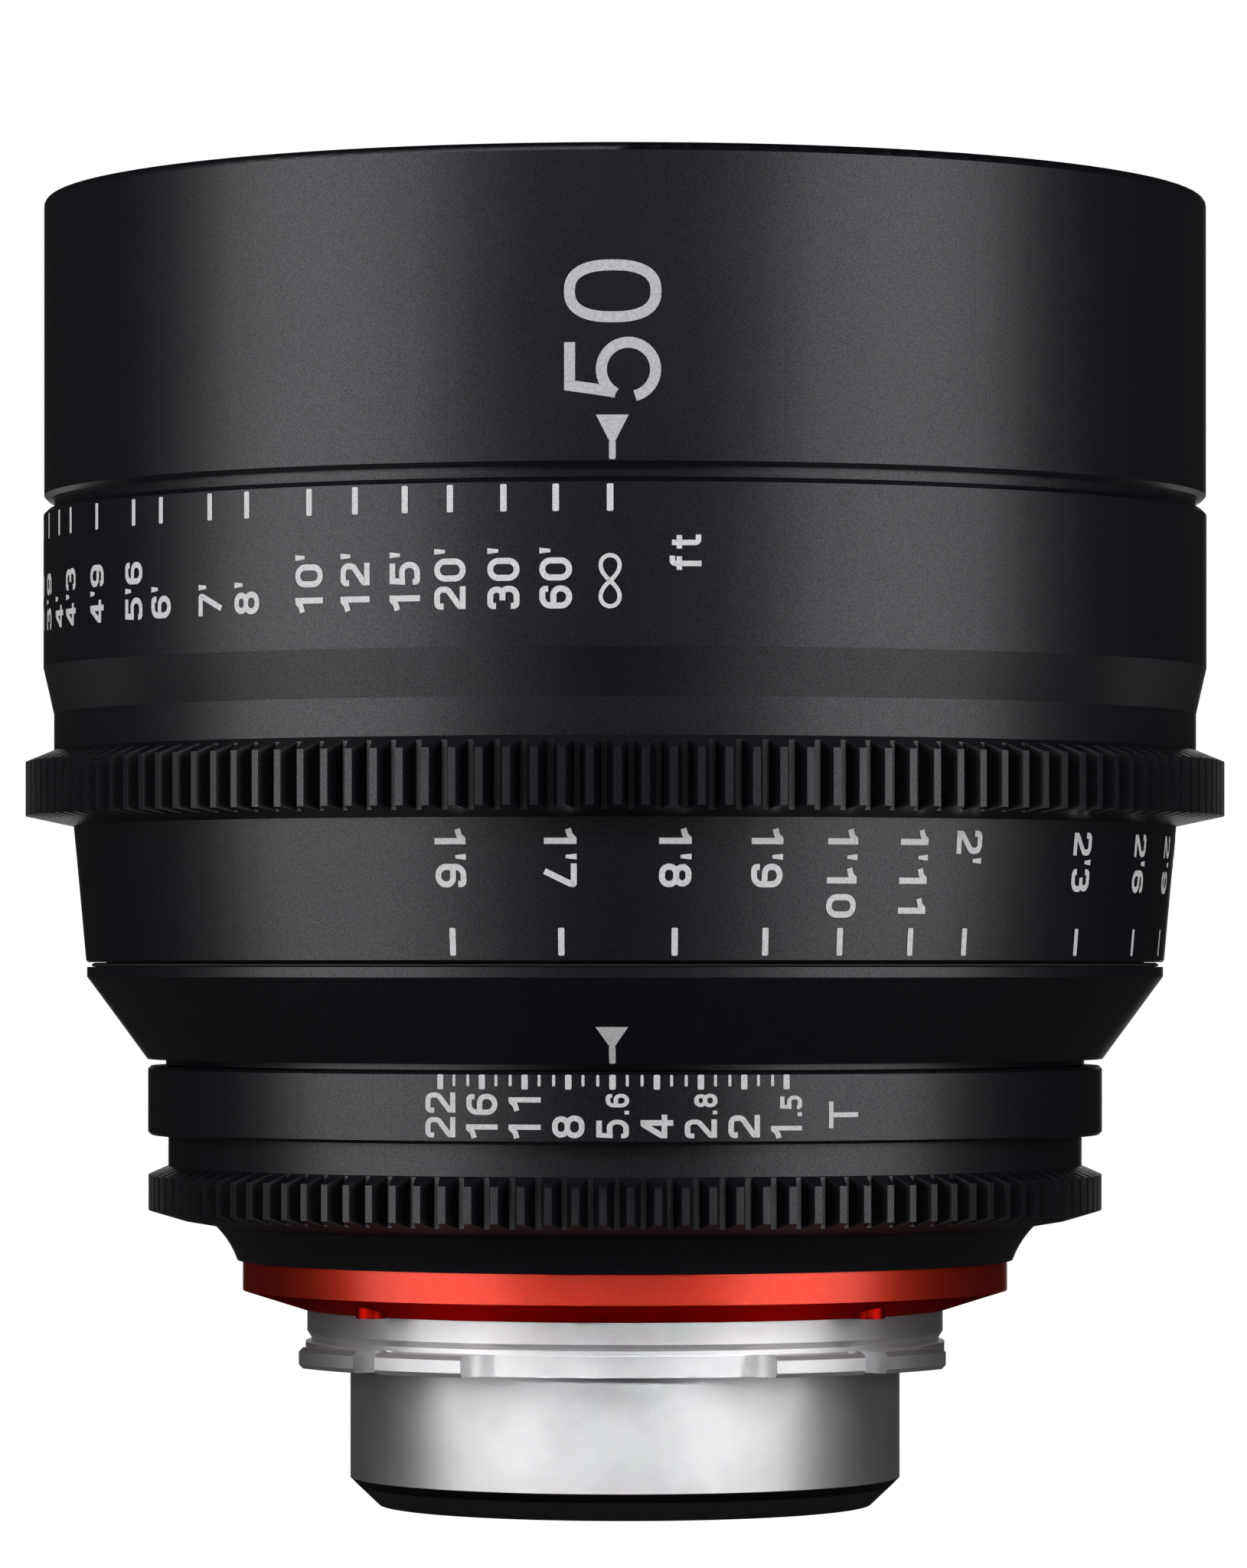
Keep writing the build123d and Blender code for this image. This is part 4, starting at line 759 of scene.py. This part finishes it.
SEEN = ["Is Camera Ray", "Is Transmission Ray"]
TABLE_R = 0.30
TABLE_COLOUR = 0.10
TABLE_GLOW = 0.98
CARD_R = 0.12
CARD_LIFT = 0.3 * MM
CARD_GLOW = 1.0
BACK_Y = 1.6
BACK_HALF_W, BACK_HALF_H = 0.35, 0.8
BACK_COLOUR = 0.02
ARC_DEGREES = 5
SKY_IN_REFLECTIONS = 0.015
BOX_DISTANCE = 1.2
MOUNT_FILL_SPREAD = math.radians(4)


def light_path_choice(tree, kinds, strength, otherwise):
    """A strength for some kinds of ray and another for the rest."""
    path = tree.nodes.new("ShaderNodeLightPath")
    found = path.outputs[kinds[0]]
    for kind in kinds[1:]:
        found = calculate(tree.nodes, tree.links, "MAXIMUM", found, path.outputs[kind])
    return map_range(tree.nodes, tree.links, found, otherwise, strength)


def pale_stage(name, corners, colour, kinds, strength, otherwise=0.0):
    """A pale sheet of the studio that is lit up only for some kinds of ray, and keeps shadows."""
    obj = new_object(name, corners, [tuple(range(len(corners)))])
    material = bpy.data.materials.new(name)
    material.use_nodes = True
    tree = material.node_tree
    tree.nodes.clear()
    out = tree.nodes.new("ShaderNodeOutputMaterial")
    diffuse = tree.nodes.new("ShaderNodeBsdfDiffuse")
    diffuse.inputs["Color"].default_value = (colour, colour, colour, 1)
    glow = tree.nodes.new("ShaderNodeEmission")
    tree.links.new(light_path_choice(tree, kinds, strength, otherwise), glow.inputs["Strength"])
    total = tree.nodes.new("ShaderNodeAddShader")
    tree.links.new(diffuse.outputs[0], total.inputs[0])
    tree.links.new(glow.outputs[0], total.inputs[1])
    tree.links.new(total.outputs[0], out.inputs["Surface"])
    dress(obj, material)


def arc(r, z, first, last):
    """Points round the axis, by their angle from the camera's side."""
    angles = [math.radians(a) for a in range(first, last + 1, ARC_DEGREES)]
    return [(r * math.sin(a), -r * math.cos(a), z) for a in angles]


pale_stage("floor", arc(TABLE_R, FLOOR_Z, 0, 355), TABLE_COLOUR, SEEN, TABLE_GLOW)
# Two white cards on the table that glow in reflections, painted light for the softboxes' spill on the table, which
# the sloping faces reflect
for side, first, last in (("left", -65, -20), ("right", 20, 65)):
    inner_arc, outer_arc = (arc(r, FLOOR_Z + CARD_LIFT, first, last) for r in (CARD_R, TABLE_R))
    pale_stage("glowing_card_" + side, inner_arc + outer_arc[::-1], TABLE_COLOUR, SEEN, TABLE_GLOW, CARD_GLOW)
back_corners = [(x * BACK_HALF_W, BACK_Y, z * BACK_HALF_H) for x, z in ((-1, -1), (1, -1), (1, 1), (-1, 1))]
pale_stage("backdrop", back_corners, BACK_COLOUR, SEEN + ["Is Glossy Ray"], 1.0)

world = bpy.data.worlds.new("studio")
bpy.context.scene.world = world
world.use_nodes = True
sky = world.node_tree.nodes["Background"]
sky.inputs["Color"].default_value = (1, 1, 1, 1)
brightness = light_path_choice(world.node_tree, SEEN, 1.0, SKY_IN_REFLECTIONS)
world.node_tree.links.new(brightness, sky.inputs["Strength"])


def soft_light(name, azimuth, distance, height, width, tall, power, aim_z=None):
    """A softbox at an angle from the camera's side, turned to the axis at its own height or at aim_z."""
    data = bpy.data.lights.new(name, "AREA")
    data.shape = "RECTANGLE"
    data.size, data.size_y = width, tall
    data.energy = power
    obj = bpy.data.objects.new(name, data)
    bpy.context.scene.collection.objects.link(obj)
    a = math.radians(azimuth)
    obj.location = (distance * math.sin(a), -distance * math.cos(a), height)
    aim = Vector((0, 0, height if aim_z is None else aim_z)) - obj.location
    obj.rotation_euler = aim.to_track_quat("-Z", "Y").to_euler()
    return obj


soft_light("key_left", -58, BOX_DISTANCE, height=0.05, width=1.05, tall=1.5, power=13.8)
soft_light("key_right", 55, BOX_DISTANCE, height=0.05, width=0.98, tall=1.5, power=12.8)
soft_light("front_top", 0, 0.9, height=0.66, width=1.3, tall=0.3, power=4.0, aim_z=0.03)

# Two softboxes low behind, which only views from behind and above find in the walls of the lens
for azimuth in (-135, 135):
    soft_light("back_low", azimuth, BOX_DISTANCE, height=-0.48, width=0.9, tall=0.5, power=3.0, aim_z=0.05)

# A row of small gridded lamps low in front, whose narrow beams fill only the bright mount
for azimuth in (-32, -16, 0, 16, 32):
    grid = soft_light("mount_fill", azimuth, 0.74, height=0.107, width=0.09, tall=0.012, power=0.0006, aim_z=-0.010)
    grid.data.spread = MOUNT_FILL_SPREAD

bpy.context.scene.view_settings.view_transform = "Standard"
